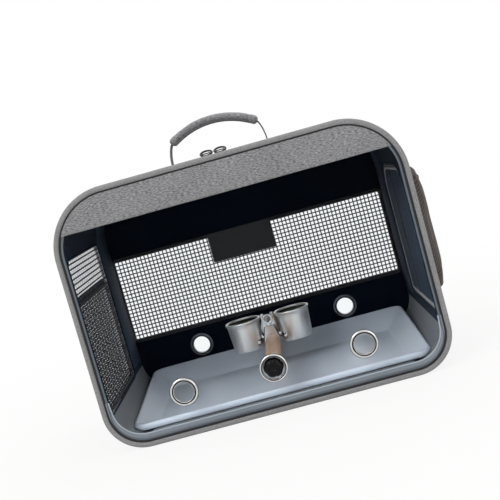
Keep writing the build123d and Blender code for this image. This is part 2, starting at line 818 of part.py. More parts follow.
# ---------------------------------------------------------------- cup clamp
saddle_top = grommet_height + dowel_radius + saddle_lift
saddle_plate = saddle_top - saddle_sheet
saddle_shoulder = grommet_height + saddle_shoulder_rise
saddle_foot_out = dowel_radius + saddle_gap + saddle_sheet
saddle_waist = saddle_front + saddle_length
hanger_front = saddle_waist + hanger_setback
hanger_back = hanger_front + hanger_length
hanger_top = saddle_top + hanger_height
saddle_back = hanger_back + hanger_margin
ring_height = saddle_top + ring_rise
with BuildPart() as perch_saddle:
    with BuildSketch(cross_plane(saddle_waist)):
        with BuildLine():
            right_side = Polyline((0, saddle_top), (saddle_half_width, saddle_top),
                                  (saddle_foot_out, saddle_shoulder),
                                  (saddle_foot_out, grommet_height),
                                  (saddle_foot_out - saddle_sheet, grommet_height),
                                  (saddle_foot_out - saddle_sheet, saddle_shoulder),
                                  (saddle_half_width - saddle_sheet, saddle_plate),
                                  (0, saddle_plate), close=True)
        make_face()
        mirror(about=Plane.YZ)
    extrude(amount=saddle_waist - saddle_front)
    with BuildSketch(Plane.XY.offset(saddle_plate)):
        add(span_face((-saddle_half_width, saddle_front), (saddle_half_width, saddle_back)))
    extrude(amount=saddle_sheet)
    with BuildSketch(Plane.XY.offset(saddle_top)):
        with Locations((0, screw_y)):
            Circle(screw_radius + stud_clearance)
    extrude(amount=-2 * saddle_sheet, mode=Mode.SUBTRACT)
keep(perch_saddle, "perch_saddle")

with BuildPart() as clamp_screw:
    with BuildSketch(Plane.XY.offset(grommet_height + dowel_radius - screw_depth)):
        with Locations((0, screw_y)):
            Circle(screw_radius)
    extrude(amount=ring_height - ring_radius - grommet_height - dowel_radius + screw_depth)
    with BuildSketch(Plane.XY.offset(saddle_top)):
        with Locations((0, screw_y)):
            Circle(screw_collar)
    extrude(amount=screw_collar_height)
    with Locations((0, screw_y, ring_height)):
        Torus(ring_radius, ring_wire, rotation=(90, 0, 0))
keep(clamp_screw, "clamp_screw")

hanger_outer = saddle_half_width
hanger_inner = hanger_outer - hanger_sheet
rivet_x = hanger_inner - hanger_foot / 2
rivet_y = (hanger_front + hanger_back) / 2
for side, sign in (("left", -1), ("right", 1)):
    with BuildPart() as hanger:
        with BuildSketch(Plane.XY.offset(saddle_top)):
            foot = sorted((sign * (hanger_inner - hanger_foot), sign * hanger_outer))
            add(span_face((foot[0], hanger_front), (foot[1], hanger_back)))
            with Locations((sign * rivet_x, rivet_y)):
                Circle(rivet_radius + stud_clearance, mode=Mode.SUBTRACT)
        extrude(amount=hanger_sheet)
        with BuildSketch(Plane.XY.offset(saddle_top + hanger_sheet)):
            plate = sorted((sign * hanger_inner, sign * hanger_outer))
            add(span_face((plate[0], hanger_front), (plate[1], hanger_back)))
        extrude(amount=hanger_top - saddle_top - hanger_sheet)
    keep(hanger, f"hanger_{side}")

with BuildPart() as hanger_rivets:
    with BuildSketch(Plane.XY.offset(saddle_top + hanger_sheet)):
        with Locations((-rivet_x, rivet_y), (rivet_x, rivet_y)):
            Circle(rivet_head_radius)
    extrude(amount=rivet_radius / 2)
    with BuildSketch(Plane.XY.offset(saddle_top)):
        with Locations((-rivet_x, rivet_y), (rivet_x, rivet_y)):
            Circle(rivet_radius)
    extrude(amount=hanger_sheet)
keep(hanger_rivets, "hanger_rivets")

# ---------------------------------------------------------------- cups
cup_bottom = hanger_top - cup_drop - cup_height
cup_y = rivet_y
cup_slope = (cup_top_radius - cup_bottom_radius) / cup_height


def cup_wall_at(height):
    """Outer radius of the cup wall at a height above its base."""
    return cup_bottom_radius + cup_slope * height


hook_inner = hanger_outer + hook_gap
hook_outer = hook_inner + hook_sheet
cup_spread = hook_outer + cup_gap + cup_rim + cup_top_radius
hook_cap = hanger_top + hook_gap
lip_outer = hanger_inner - hook_gap
lip_inner = lip_outer - hook_sheet

for side, sign in (("left", -1), ("right", 1)):
    cup_x = sign * cup_spread
    cup_axis = Axis((cup_x, cup_y, 0), (0, 0, 1))
    cup_plane = Plane(origin=(cup_x, cup_y, cup_bottom), x_dir=(1, 0, 0), z_dir=(0, -1, 0))

    with BuildPart() as cup:
        with BuildSketch(cup_plane):
            with BuildLine():
                Polyline((0, 0), (cup_bottom_radius, 0), (cup_top_radius, cup_height),
                         (cup_top_radius - cup_sheet, cup_height),
                         (cup_bottom_radius - cup_sheet, cup_sheet), (0, cup_sheet), close=True)
            make_face()
            with Locations((cup_top_radius, cup_height)):
                Circle(cup_rim)
        revolve(axis=cup_axis)
    keep(cup, f"cup_{side}")

    # Band round the side that faces the perch, and the tongue that hooks on the hanger
    turn = 0 if sign < 0 else 180
    with BuildPart() as hook:
        first = radians(turn - band_angle / 2)
        band_plane = Plane(origin=cup_plane.origin, x_dir=(cos(first), sin(first), 0),
                           z_dir=(sin(first), -cos(first), 0))
        with BuildSketch(band_plane):
            with BuildLine():
                low = cup_wall_at(band_low) + seat_clearance
                high = cup_wall_at(band_high) + seat_clearance
                Polyline((low, band_low), (low + hook_sheet, band_low),
                         (high + hook_sheet, band_high), (high, band_high), close=True)
            make_face()
        revolve(axis=cup_axis, revolution_arc=band_angle)
        with BuildSketch(cross_plane(cup_y + hook_width / 2)):
            with BuildLine():
                root_x = cup_spread - cup_wall_at(band_high) - seat_clearance
                root_z = cup_bottom + band_high
                tongue = [(root_x, root_z - hook_sheet), (root_x, root_z),
                          (hook_outer, root_z + 2 * hook_sheet),
                          (hook_outer, hook_cap + hook_sheet), (lip_inner, hook_cap + hook_sheet),
                          (lip_inner, hook_cap - hook_lip), (lip_outer, hook_cap - hook_lip),
                          (lip_outer, hook_cap), (hook_inner, hook_cap),
                          (hook_inner, root_z + hook_sheet),
                          (root_x - hook_sheet, root_z - hook_sheet)]
                Polyline(*[(sign * x, z) for x, z in tongue], close=True)
            make_face()
        extrude(amount=hook_width)
    keep(hook, f"cup_{side}_hook")

    with BuildPart() as domes:
        mid = (band_low + band_high) / 2
        for angle in (-dome_angle, dome_angle):
            facing = turn + angle
            outward = (cos(radians(facing)), sin(radians(facing)), 0)
            wall = cup_wall_at(mid + dome_radius) + seat_clearance + hook_sheet
            root = (cup_x + outward[0] * wall, cup_y + outward[1] * wall, cup_bottom + mid)
            with Locations(Plane(origin=root, z_dir=outward)):
                Sphere(dome_radius, arc_size1=0, align=(Align.CENTER, Align.CENTER, Align.MIN))
    keep(domes, f"cup_{side}_rivets")

# ---------------------------------------------------------------- tray
tray_bottom = floor_top + tray_clearance
tray_rim_front = cabin_front + tray_front_gap
tray_rim_back = lining_inside - tray_back_gap
tray_rim_half = half_width - tray_side_gap
tray_base_front = tray_rim_front + tray_front_draft
tray_base_back = tray_rim_back - tray_back_draft
tray_base_half = tray_rim_half - tray_side_draft
rim_run = tray_rim_back - tray_rim_front
rim_climb = tray_back_height - tray_front_height
rim_tilt = degrees(atan2(rim_climb, rim_run))
rim_middle = ((tray_rim_front + tray_rim_back) / 2,
              floor_top + (tray_front_height + tray_back_height) / 2)
rim_length = sqrt(rim_run**2 + rim_climb**2)
rim_plane = Plane(origin=(0, rim_middle[0], rim_middle[1]), x_dir=(1, 0, 0),
                  z_dir=(0, -sin(radians(rim_tilt)), cos(radians(rim_tilt))))
base_middle = (tray_base_front + tray_base_back) / 2
base_run = tray_base_back - tray_base_front

with BuildPart() as tray:
    with BuildSketch(Plane.XY.offset(tray_bottom)):
        with Locations((0, base_middle)):
            RectangleRounded(2 * tray_base_half, base_run, tray_base_radius)
    with BuildSketch(rim_plane):
        RectangleRounded(2 * tray_rim_half, rim_length, tray_rim_radius)
    loft()
    with BuildSketch(rim_plane):
        RectangleRounded(2 * (tray_rim_half + tray_lip), rim_length + 2 * tray_lip,
                         tray_rim_radius + tray_lip)
    extrude(amount=tray_wall)
    with BuildSketch(Plane.XY.offset(tray_bottom + tray_wall)):
        with Locations((0, base_middle)):
            RectangleRounded(2 * (tray_base_half - tray_wall), base_run - 2 * tray_wall,
                             tray_base_radius - tray_wall)
    with BuildSketch(rim_plane.offset(tray_wall)):
        RectangleRounded(2 * (tray_rim_half - tray_wall), rim_length - 2 * tray_wall,
                         tray_rim_radius - tray_wall)
    loft(mode=Mode.SUBTRACT)
keep(tray, "tray")

for piece in pieces:
    export_step(piece, f"parts/{piece.label}.step")
print(len(pieces), "sub-parts written")
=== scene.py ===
import bmesh
import bpy
import math
import numpy as np
from mathutils import Matrix, Vector, kdtree, noise
from mathutils.bvhtree import BVHTree
from mathutils.geometry import delaunay_2d_cdt


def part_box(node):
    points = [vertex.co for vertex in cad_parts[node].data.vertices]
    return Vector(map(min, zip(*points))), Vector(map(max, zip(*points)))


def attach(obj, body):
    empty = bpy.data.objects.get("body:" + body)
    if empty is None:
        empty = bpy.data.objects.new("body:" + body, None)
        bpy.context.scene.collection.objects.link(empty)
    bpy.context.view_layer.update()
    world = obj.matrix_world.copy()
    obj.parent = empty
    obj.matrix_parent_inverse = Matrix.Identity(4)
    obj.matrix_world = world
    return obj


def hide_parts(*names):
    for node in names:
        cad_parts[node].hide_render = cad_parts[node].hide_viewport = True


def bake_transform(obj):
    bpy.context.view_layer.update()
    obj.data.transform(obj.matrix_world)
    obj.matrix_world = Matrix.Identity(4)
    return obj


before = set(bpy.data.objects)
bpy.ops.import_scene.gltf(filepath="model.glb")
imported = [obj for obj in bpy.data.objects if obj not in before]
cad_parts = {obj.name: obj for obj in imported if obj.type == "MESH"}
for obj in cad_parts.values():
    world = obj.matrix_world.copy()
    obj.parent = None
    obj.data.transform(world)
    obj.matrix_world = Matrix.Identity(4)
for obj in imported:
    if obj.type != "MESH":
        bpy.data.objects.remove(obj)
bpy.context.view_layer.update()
scene = bpy.context.scene
mm = 0.001
print("solids loaded:", len(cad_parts))

# camera, floor and lights

view = {
    "place": (61.0, -1153.9, 286.2),                       # mm
    "yaw": -0.0498, "pitch": 0.0912, "roll": -0.2718,      # radians, the pitch downwards
    "lens": 64.24, "sensor": 36, "nearest": 0.01,
}
studio = {
    "floorColour": "#f4f2f0", "floorReach": 6,
    "floorGlow": 0.86, "glowFrom": 0.3, "plainFrom": 0.9,  # share of plain white under the carrier and further out
    "worldFill": 0.42,
    "aim": (0, 0, 0.15),
    "lamps": {
        "key": {"place": (-1.1, -1.5, 1.7), "size": 1.3, "power": 19},
        "fill": {"place": (1.5, -1.3, 0.9), "size": 1.4, "power": 7},
        "top": {"place": (0.1, 0.1, 1.9), "size": 1.5, "power": 12},
        "back": {"place": (0.5, 1.5, 0.9), "size": 1.2, "power": 7},
    },
}
white = (1, 1, 1, 1)


def linear(hexColour):
    parts = [int(hexColour[i:i + 2], 16) / 255 for i in (1, 3, 5)]
    return tuple(p / 12.92 if p <= 0.04045 else ((p + 0.055) / 1.055) ** 2.4 for p in parts) + (1,)


def startTree(owner):
    owner.use_nodes = True
    owner.node_tree.nodes.clear()
    return owner.node_tree


def addNode(tree, kind, settings=None):
    # settings go by property, input name or input number; a node or a socket as a value is joined to the input
    node = tree.nodes.new(kind)
    for key, value in (settings or {}).items():
        if isinstance(value, bpy.types.Node):
            value = value.outputs[0]
        if isinstance(value, bpy.types.NodeSocket):
            tree.links.new(value, node.inputs[key])
        elif isinstance(key, int) or key in node.inputs:
            node.inputs[key].default_value = value
        else:
            setattr(node, key, value)
    return node


def maths(tree, operation, *values):
    return addNode(tree, "ShaderNodeMath", {"operation": operation, **dict(enumerate(values))}).outputs[0]


def seenDirectly(tree):
    # 1 for rays that show the surroundings as they are: straight, in gloss and through clear film
    rays = addNode(tree, "ShaderNodeLightPath").outputs
    gloss = maths(tree, "MAXIMUM", rays["Is Camera Ray"], rays["Is Glossy Ray"])
    return maths(tree, "MAXIMUM", gloss, rays["Is Transmission Ray"])


def addObject(name, data, matrix=None):
    obj = bpy.data.objects.new(name, data)
    if matrix:
        obj.matrix_world = matrix
    scene.collection.objects.link(obj)
    return obj


def addCamera():
    yaw, pitch, roll = view["yaw"], view["pitch"], view["roll"]
    ahead = Vector((math.sin(yaw) * math.cos(pitch), math.cos(yaw) * math.cos(pitch), -math.sin(pitch)))
    across = Vector((math.cos(yaw), -math.sin(yaw), 0))
    above = across.cross(ahead)
    right = math.cos(roll) * across + math.sin(roll) * above
    up = -math.sin(roll) * across + math.cos(roll) * above
    data = bpy.data.cameras.new("camera")
    data.lens, data.sensor_width, data.clip_start = view["lens"], view["sensor"], view["nearest"]
    turn = Matrix((right, up, -ahead)).transposed().to_4x4()
    scene.camera = addObject("camera", data, Matrix.Translation(Vector(view["place"]) * mm) @ turn)


def addWorld():
    world = bpy.data.worlds.new("studio")
    tree = startTree(world)
    strength = addNode(tree, "ShaderNodeMapRange", {
        "To Min": studio["worldFill"], "To Max": 1.0, "Value": seenDirectly(tree)})
    sky = addNode(tree, "ShaderNodeBackground", {"Color": white, "Strength": strength})
    addNode(tree, "ShaderNodeOutputWorld", {"Surface": sky})
    scene.world = world
    scene.view_settings.view_transform = "Standard"


def addFloor():
    paper = bpy.data.materials.new("matt white paper")     # even, no shine, keeps a faint shadow
    tree = startTree(paper)
    matt = addNode(tree, "ShaderNodeBsdfDiffuse", {"Color": linear(studio["floorColour"])})
    glow = addNode(tree, "ShaderNodeEmission", {"Color": white, "Strength": 1.0})
    where = addNode(tree, "ShaderNodeTexCoord").outputs["Object"]
    away = addNode(tree, "ShaderNodeVectorMath", {"operation": "LENGTH", 0: where})
    plain = addNode(tree, "ShaderNodeMapRange", {
        "From Min": studio["glowFrom"], "From Max": studio["plainFrom"], "To Min": studio["floorGlow"],
        "Value": away.outputs["Value"]})
    share = maths(tree, "MULTIPLY", plain.outputs[0], seenDirectly(tree))
    both = addNode(tree, "ShaderNodeMixShader", {0: share, 1: matt, 2: glow})
    addNode(tree, "ShaderNodeOutputMaterial", {"Surface": both})
    mesh = bpy.data.meshes.new("floor")
    reach = studio["floorReach"]
    corners = [(x * reach, y * reach, 0) for x, y in ((-1, -1), (1, -1), (1, 1), (-1, 1))]
    mesh.from_pydata(corners, [], [(0, 1, 2, 3)])
    mesh.materials.append(paper)
    addObject("floor", mesh)


def addLamps():
    for name, lamp in studio["lamps"].items():
        light = bpy.data.lights.new(name, "AREA")
        light.shape, light.size, light.energy = "SQUARE", lamp["size"], lamp["power"]
        place = Vector(lamp["place"])
        aim = (Vector(studio["aim"]) - place).to_track_quat("-Z", "Y")
        addObject(name, light, Matrix.Translation(place) @ aim.to_matrix().to_4x4())


addCamera()
addWorld()
addFloor()
addLamps()
print("camera and studio ready")

# finishes


def startFinish(name, settings):
    material = bpy.data.materials.new(name)
    tree = startTree(material)
    shader = addNode(tree, "ShaderNodeBsdfPrincipled", settings)
    output = addNode(tree, "ShaderNodeOutputMaterial", {"Surface": shader})
    return material, tree, shader, output


def spotOf(tree, kind="Object"):
    return addNode(tree, "ShaderNodeTexCoord").outputs[kind]


def scaled(tree, where, scale):
    return addNode(tree, "ShaderNodeMapping", {"Scale": scale, "Vector": where})


def noisy(tree, where, scale=1.0, detail=2.0, **more):
    return addNode(tree, "ShaderNodeTexNoise", {"Scale": scale, "Detail": detail, "Vector": where, **more}).outputs[0]


def ranged(tree, value, low, high, **more):
    return addNode(tree, "ShaderNodeMapRange", {"From Min": low, "From Max": high, "Value": value, **more})


def blended(tree, dark, light, share):
    return addNode(tree, "ShaderNodeMix", {"data_type": "RGBA", 6: dark, 7: light, 0: share}).outputs[2]


def setShader(tree, shader, **sources):
    for key, source in sources.items():
        tree.links.new(source, shader.inputs[key.replace("Base", "Base ")])


def raised(tree, height, strength, distance):
    return addNode(tree, "ShaderNodeBump", {"Strength": strength, "Distance": distance, "Height": height}).outputs[0]


def wovenCloth(name, cloth):
    # woven or knitted cloth: flecks of two yarn shades, a slow change over the panel, a raised weave
    material, tree, shader, output = startFinish(name, {
        "Roughness": cloth["roughness"], "Specular IOR Level": cloth.get("gloss", 0.3),
        "Sheen Weight": cloth.get("sheen", 0.2), "Sheen Roughness": 0.45})
    where = spotOf(tree, "UV")
    turn = math.radians(cloth.get("turn", 0))
    turned = addNode(tree, "ShaderNodeMapping", {"Rotation": (0, 0, turn), "Vector": where})
    long, short = (1 / (size * mm) for size in cloth["fleck"])
    flecks = noisy(tree, scaled(tree, turned, (long, short, short)), 1.0, 3.0, Roughness=0.6)
    cloud = noisy(tree, where, 1 / (cloth["cloud"] * mm))
    spread = cloth.get("spread", 0.2)
    sharp = ranged(tree, flecks, 0.5 - spread, 0.5 + spread)
    perThread = 0.31416                                    # a wave's scale for one thread a metre
    waves = [addNode(tree, "ShaderNodeTexWave", {
        "bands_direction": axis, "Scale": perThread / (cloth["thread"] * mm), "Vector": turned}).outputs["Fac"]
        for axis in ("X" if cloth.get("ribbed") else "XY")]
    height = waves[0] if len(waves) == 1 else maths(tree, "MULTIPLY", *waves)
    stripe, cloudShare = cloth.get("stripe", 0.0), 0.2
    share = maths(tree, "MULTIPLY", sharp.outputs[0], 1 - cloudShare - stripe)
    share = maths(tree, "MULTIPLY_ADD", cloud, cloudShare, share)
    share = maths(tree, "MULTIPLY_ADD", height, stripe, share)
    rough = maths(tree, "MULTIPLY_ADD", flecks, 0.6, height)
    setShader(tree, shader, BaseColor=blended(tree, linear(cloth["dark"]), linear(cloth["light"]), share),
              Normal=raised(tree, rough, cloth.get("relief", 0.5), 0.0004))
    return material


def platedMetal(name, metal):
    # plated or spun metal: fine hair lines along one axis change how sharp the reflections are
    material, tree, shader, output = startFinish(name, {"Base Color": linear(metal["colour"]), "Metallic": 1.0})
    where = spotOf(tree)
    hair = noisy(tree, scaled(tree, where, metal["lines"]), 1.0, 3.0)
    mixed = maths(tree, "MULTIPLY", hair, noisy(tree, where, 60.0))
    low, high = metal["roughness"]
    rough = ranged(tree, mixed, 0.1, 0.45, **{"To Min": low, "To Max": high})
    setShader(tree, shader, Roughness=rough.outputs[0], Normal=raised(tree, hair, metal["relief"], 0.0001))
    return material


def mouldedPlastic(name, plastic):
    # moulded plastic: a fine even grain from the mould and faint flow marks
    material, tree, shader, output = startFinish(name, {
        "Roughness": plastic["roughness"], "IOR": 1.5, "Specular IOR Level": plastic.get("gloss", 0.5),
        "Subsurface Weight": plastic.get("depth", 0.0), "Subsurface Scale": 0.002})
    where = spotOf(tree)
    flow = noisy(tree, where, 14.0, 3.0)
    grain = noisy(tree, where, 1 / (plastic["grain"] * mm))
    setShader(tree, shader, BaseColor=blended(tree, linear(plastic["dark"]), linear(plastic["light"]), flow),
              Normal=raised(tree, grain, plastic["relief"], 0.0002))
    return material


def clearFilm(name, film):
    # calendered clear PVC film: slightly wavy, faintly blue, lamps shine through it; a film this thin hardly
    # bends or mirrors light, so its index of refraction is far below that of a thick PVC sheet
    material, tree, shader, output = startFinish(name, {
        "Base Color": linear(film["tint"]), "Roughness": film["roughness"], "IOR": film["bend"],
        "Transmission Weight": 1.0})
    ripple = noisy(tree, spotOf(tree), 1 / (film["ripple"] * mm), 1.5)
    setShader(tree, shader, Normal=raised(tree, ripple, 0.12, 0.001))
    through = addNode(tree, "ShaderNodeBsdfTransparent", {"Color": linear(film["shadow"])})
    rays = addNode(tree, "ShaderNodeLightPath").outputs
    both = addNode(tree, "ShaderNodeMixShader", {0: rays["Is Shadow Ray"], 1: shader, 2: through})
    tree.links.new(both.outputs[0], output.inputs["Surface"])
    return material


def turnedBeech(name, wood):
    # lacquered beech turned along Y: long fine grain, short darker rays, a thin satin lacquer
    material, tree, shader, output = startFinish(name, {
        "Roughness": 0.42, "IOR": 1.5, "Coat Weight": 0.25, "Coat Roughness": 0.3})
    where = spotOf(tree)
    grain = noisy(tree, scaled(tree, where, (160, 9, 160)), 1.0, 4.0, Distortion=0.4)
    rays = ranged(tree, noisy(tree, scaled(tree, where, (900, 120, 900)), 1.0, 1.0), 0.55, 0.75)
    base = blended(tree, linear(wood["dark"]), linear(wood["light"]), grain)
    setShader(tree, shader, BaseColor=blended(tree, base, linear(wood["ray"]), rays),
              Normal=raised(tree, grain, 0.2, 0.0002))
    return material


# fleck and thread sizes in mm; real threads are about 0.5 mm, drawn coarser so that they show
nylon = {"fleck": (3.0, 1.2), "cloud": 45, "thread": 1.2, "roughness": 0.75, "gloss": 0.2, "sheen": 0.0, "relief": 0.3}
ribbed = {"cloud": 30, "ribbed": True}
plated = {"lines": (90, 90, 90), "relief": 0.05}
coilGrain = {"grain": 0.9, "relief": 0.2}
spunThread = {"grain": 0.7, "relief": 0.4, "roughness": 0.7}
sealed = {"grain": 3.0, "relief": 0.1}
finishes = {
    # two-tone spun polyester, laminated on foam: matt, mottled grey with short level streaks
    "heather": wovenCloth("heather polyester cloth", {
        "dark": "#3d3d40", "light": "#b8b8ba", "fleck": (3.8, 0.75), "spread": 0.15, "cloud": 38, "thread": 1.3,
        "roughness": 0.93, "sheen": 0.25, "relief": 0.4}),
    # the same cloth cut on the bias round a cord: tighter flecks, slightly lighter
    "piping": wovenCloth("bias cut piping cloth", {
        **ribbed, "dark": "#48484a", "light": "#bdbdbe", "fleck": (2.4, 0.8), "thread": 1.6, "turn": 45,
        "stripe": 0.25, "roughness": 0.9, "sheen": 0.25}),
    # 210 denier nylon lining: dark blue, faint ribs, a little shine
    "navy": wovenCloth("navy nylon lining", {**nylon, "dark": "#0c141f", "light": "#1b293a"}),
    # the same lining laid flat on the back panel, painted darker: painted shade, as it takes less light and looks
    # nearly black
    "shadedNavy": wovenCloth("navy nylon lining, painted shade", {
        **nylon, "dark": "#050a14", "light": "#091322", "roughness": 0.9, "gloss": 0.02, "relief": 0.08}),
    # the padded inside of the side door: the same nylon painted lighter and a shade bluer, painted light from the left
    # window that it faces; the strips in the rear corners use it too
    "lighterNavy": wovenCloth("navy nylon, painted lighter", {**nylon, "dark": "#232d3a", "light": "#3a4757"}),
    # polyurethane coated polyester splash lining: mid grey, smoother and shinier than the wrap
    "greyLining": wovenCloth("coated grey lining", {
        "dark": "#5e6267", "light": "#7f8286", "fleck": (3.5, 1.6), "cloud": 50, "thread": 1.4,
        "roughness": 0.5, "gloss": 0.45, "sheen": 0.1, "relief": 0.25}),
    # warp knitted polyester tape: dark grey ribs across
    "tape": wovenCloth("knitted zip tape", {
        **ribbed, "dark": "#201f22", "light": "#383639", "fleck": (1.5, 1.2), "thread": 1.5, "roughness": 0.85}),
    # diagonal twill on foam: brownish dark grey with raised slanted ribs
    "twill": wovenCloth("dark grey twill", {
        **ribbed, "dark": "#231e1d", "light": "#655b57", "fleck": (5.0, 1.3), "cloud": 40, "thread": 3.4,
        "turn": 45, "stripe": 0.55, "roughness": 0.85, "relief": 0.9}),
    # black satin woven patch: close weave, soft shine
    "satin": wovenCloth("black satin patch", {
        "dark": "#191818", "light": "#272525", "fleck": (2.0, 1.0), "cloud": 25, "thread": 1.2,
        "roughness": 0.6, "gloss": 0.4, "relief": 0.25}),
    # polyester webbing, plain ribbed weave
    "webbing": wovenCloth("grey polyester webbing", {
        "dark": "#5d5c5c", "light": "#8f8e8c", "fleck": (2.0, 1.2), "cloud": 30, "thread": 1.8,
        "roughness": 0.82, "relief": 0.8}),
    # covered elastic: dark, ribs across its length
    "elastic": wovenCloth("black covered elastic", {
        **ribbed, "dark": "#141517", "light": "#2b2c30", "fleck": (1.4, 3.0), "thread": 1.6,
        "roughness": 0.8, "relief": 0.9}),
    # matt nylon cord of the woven meshes
    "netCord": mouldedPlastic("black nylon cord", {
        "dark": "#0b0c0e", "light": "#191b1f", "grain": 0.8, "relief": 0.3, "roughness": 0.6}),
    # polished nickel plate on pressed brass: bright, warm white, sharp reflections
    "nickel": platedMetal("polished nickel plate", {**plated, "colour": "#cfcfcd", "roughness": (0.06, 0.2)}),
    # the same nickel painted dark: a painted reflection of the dark cabin on the inside rings and painted shade on the
    # pressed edge of every ring; smoky, with a narrow bright edge
    "shadedNickel": platedMetal("nickel plate painted dark", {**plated, "colour": "#74777e", "roughness": (0.25, 0.4)}),
    # the same nickel painted near black in the groove of the rings: painted shade
    "grooveShadeNickel": platedMetal("nickel painted dark in the groove", {**plated, "colour": "#1e1f23", "roughness": (0.2, 0.35)}),
    # bright chrome plate on bent steel strip
    "chrome": platedMetal("chrome plated steel", {
        "colour": "#dcdddf", "roughness": (0.08, 0.26), "lines": (60, 500, 60), "relief": 0.08}),
    # spun stainless steel: satin, with level hair lines round the cup
    "steel": platedMetal("spun stainless steel", {
        "colour": "#ebe9e6", "roughness": (0.32, 0.47), "lines": (35, 35, 1400), "relief": 0.2}),
    # the inside of each cup: the same steel, darker and rougher
    "dullSteel": platedMetal("darker stainless steel", {
        "colour": "#5d5b58", "roughness": (0.35, 0.5), "lines": (35, 35, 900), "relief": 0.2}),
    # black electroplated zinc of the zip sliders
    "zinc": platedMetal("black plated zinc", {
        "colour": "#3a393b", "roughness": (0.22, 0.42), "lines": (200, 200, 200), "relief": 0.1}),
    # nylon coil of a zip: dark and slightly shiny
    "coil": mouldedPlastic("nylon zip coil", {**coilGrain, "dark": "#29282a", "light": "#3f3d3e", "roughness": 0.38}),
    # the side zip's coil, undyed grey nylon
    "paleCoil": mouldedPlastic("grey nylon zip coil", {
        **coilGrain, "dark": "#625e5b", "light": "#8f8a84", "roughness": 0.4}),
    # injection moulded ABS knob: black and glossy
    "abs": mouldedPlastic("black ABS", {
        "dark": "#050506", "light": "#0b0b0d", "grain": 0.9, "relief": 0.1, "roughness": 0.2, "gloss": 0.14}),
    # injection moulded polypropylene tray: pale blue grey, satin, light sinks in a little
    "polypropylene": mouldedPlastic("blue grey polypropylene", {
        "dark": "#c2cad6", "light": "#d4dbe5", "grain": 1.1, "relief": 0.18, "roughness": 0.36, "depth": 0.05}),
    # polyester sewing thread, mid grey on the wrap and dark on the tapes
    "thread": mouldedPlastic("grey sewing thread", {**spunThread, "dark": "#7c7c7e", "light": "#a0a0a1"}),
    "darkThread": mouldedPlastic("dark sewing thread", {**spunThread, "dark": "#202227", "light": "#34373d"}),
    # calendered PVC film: clear and faintly blue; its shadow colour is what it leaves of the lamps' light
    "film": clearFilm("clear PVC film", {
        "tint": "#f6f9fb", "shadow": "#fafbfc", "roughness": 0.03, "ripple": 70, "bend": 1.04}),
    # rim, foot and bead of the film, where layers of PVC are heat sealed: milky blue grey
    "filmRim": mouldedPlastic("heat sealed PVC rim", {
        **sealed, "dark": "#505a64", "light": "#68727c", "roughness": 0.16}),
    # the same rim painted lighter along the foot: painted light, as it faces up and takes more light
    "litFilmRim": mouldedPlastic("heat sealed PVC rim, painted lighter along the foot", {
        **sealed, "dark": "#747d86", "light": "#8c949c", "roughness": 0.18}),
    # the bead's pale colour is partly its own and partly a painted highlight of the glint along the fold
    "filmWelt": mouldedPlastic("heat sealed PVC bead", {
        **sealed, "dark": "#9aa8b6", "light": "#b5c1cd", "roughness": 0.1, "gloss": 0.9}),
    # turned and lacquered beech of the perch
    "beech": turnedBeech("lacquered beech", {"dark": "#a2744f", "light": "#c39a70", "ray": "#8a5f3f"}),
}
print("finishes ready:", len(finishes))

# the seam outline that every soft piece follows

pipeLow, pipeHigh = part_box("rear_piping")
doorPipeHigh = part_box("door_piping")[1]
cordRadius = (pipeHigh.y - pipeLow.y) / 2
seam = {
    "half": pipeHigh.x - 2 * cordRadius, "base": 2 * cordRadius, "top": pipeHigh.z - 2 * cordRadius,
    "topRadius": 65 * mm, "bottomRadius": 40 * mm,
}
rearY, frontY = pipeHigh.y - cordRadius, doorPipeHigh.y - cordRadius


def seamRuns():
    # lines (start, direction) and arcs (centre, first angle) from the lowest middle round and back
    half, base, top, big, small = (seam[key] for key in ("half", "base", "top", "topRadius", "bottomRadius"))
    side = top - big - base - small
    runs = [
        ("line", (0, base), (1, 0), half - small), ("arc", (half - small, base + small), -90, small),
        ("line", (half, base + small), (0, 1), side), ("arc", (half - big, top - big), 0, big),
        ("line", (half - big, top), (-1, 0), 2 * (half - big)), ("arc", (big - half, top - big), 90, big),
        ("line", (-half, top - big), (0, -1), side), ("arc", (small - half, base + small), 180, small),
        ("line", (small - half, base), (1, 0), half - small)]
    return [run + (run[3] if run[0] == "line" else run[3] * math.pi / 2,) for run in runs]


runs = seamRuns()
loopLength = sum(run[4] for run in runs)


def seamPoint(s, grow):
    # the point at length s round the seam from its lowest middle, moved out by grow, and its outward direction
    s %= loopLength
    for kind, start, turn, size, length in runs:
        if s <= length + 1e-9:
            break
        s -= length
    if kind == "line":
        out = (turn[1], -turn[0])
        return start[0] + turn[0] * s + out[0] * grow, start[1] + turn[1] * s + out[1] * grow, *out
    angle = math.radians(turn) + s / size
    out = (math.cos(angle), math.sin(angle))
    return start[0] + out[0] * (size + grow), start[1] + out[1] * (size + grow), *out


def lengthAtHeight(z, grow=0, side=1):
    # how far round the seam the right side (or the left, -1) reaches height z
    low, high = seam["base"] + seam["bottomRadius"], seam["top"] - seam["topRadius"]
    start = runs[0][4] + runs[1][4]
    if z < low:
        s = start - seam["bottomRadius"] * math.asin(min(1, (low - z) / (seam["bottomRadius"] + grow)))
    elif z > high:
        s = start + high - low + seam["topRadius"] * math.asin(min(1, (z - high) / (seam["topRadius"] + grow)))
    else:
        s = start + z - low
    return s if side > 0 else loopLength - s


def seamLoop(grow, y, step=4, start=0.0, end=None):
    # a path along the seam at depth y, in metres: points, outward directions and whether it goes the whole way round
    end = loopLength if end is None else end
    count = max(2, round((end - start) / (step * mm)))
    whole = end - start > loopLength - 1e-6
    spots = [seamPoint(start + (end - start) * i / count, grow) for i in range(count if whole else count + 1)]
    return [Vector((x, y, z)) for x, z, _, _ in spots], [Vector((nx, 0, nz)) for _, _, nx, nz in spots], whole


def facing(points, up, closed=True):
    # a path whose strip faces one way all along
    return points, [Vector(up)] * len(points), closed


def flatSeam(step=6):
    # the seam outline as (x, z), a hair smaller
    return [(p.x, p.z) for p in seamLoop(-0.1 * mm, 0, step)[0]]


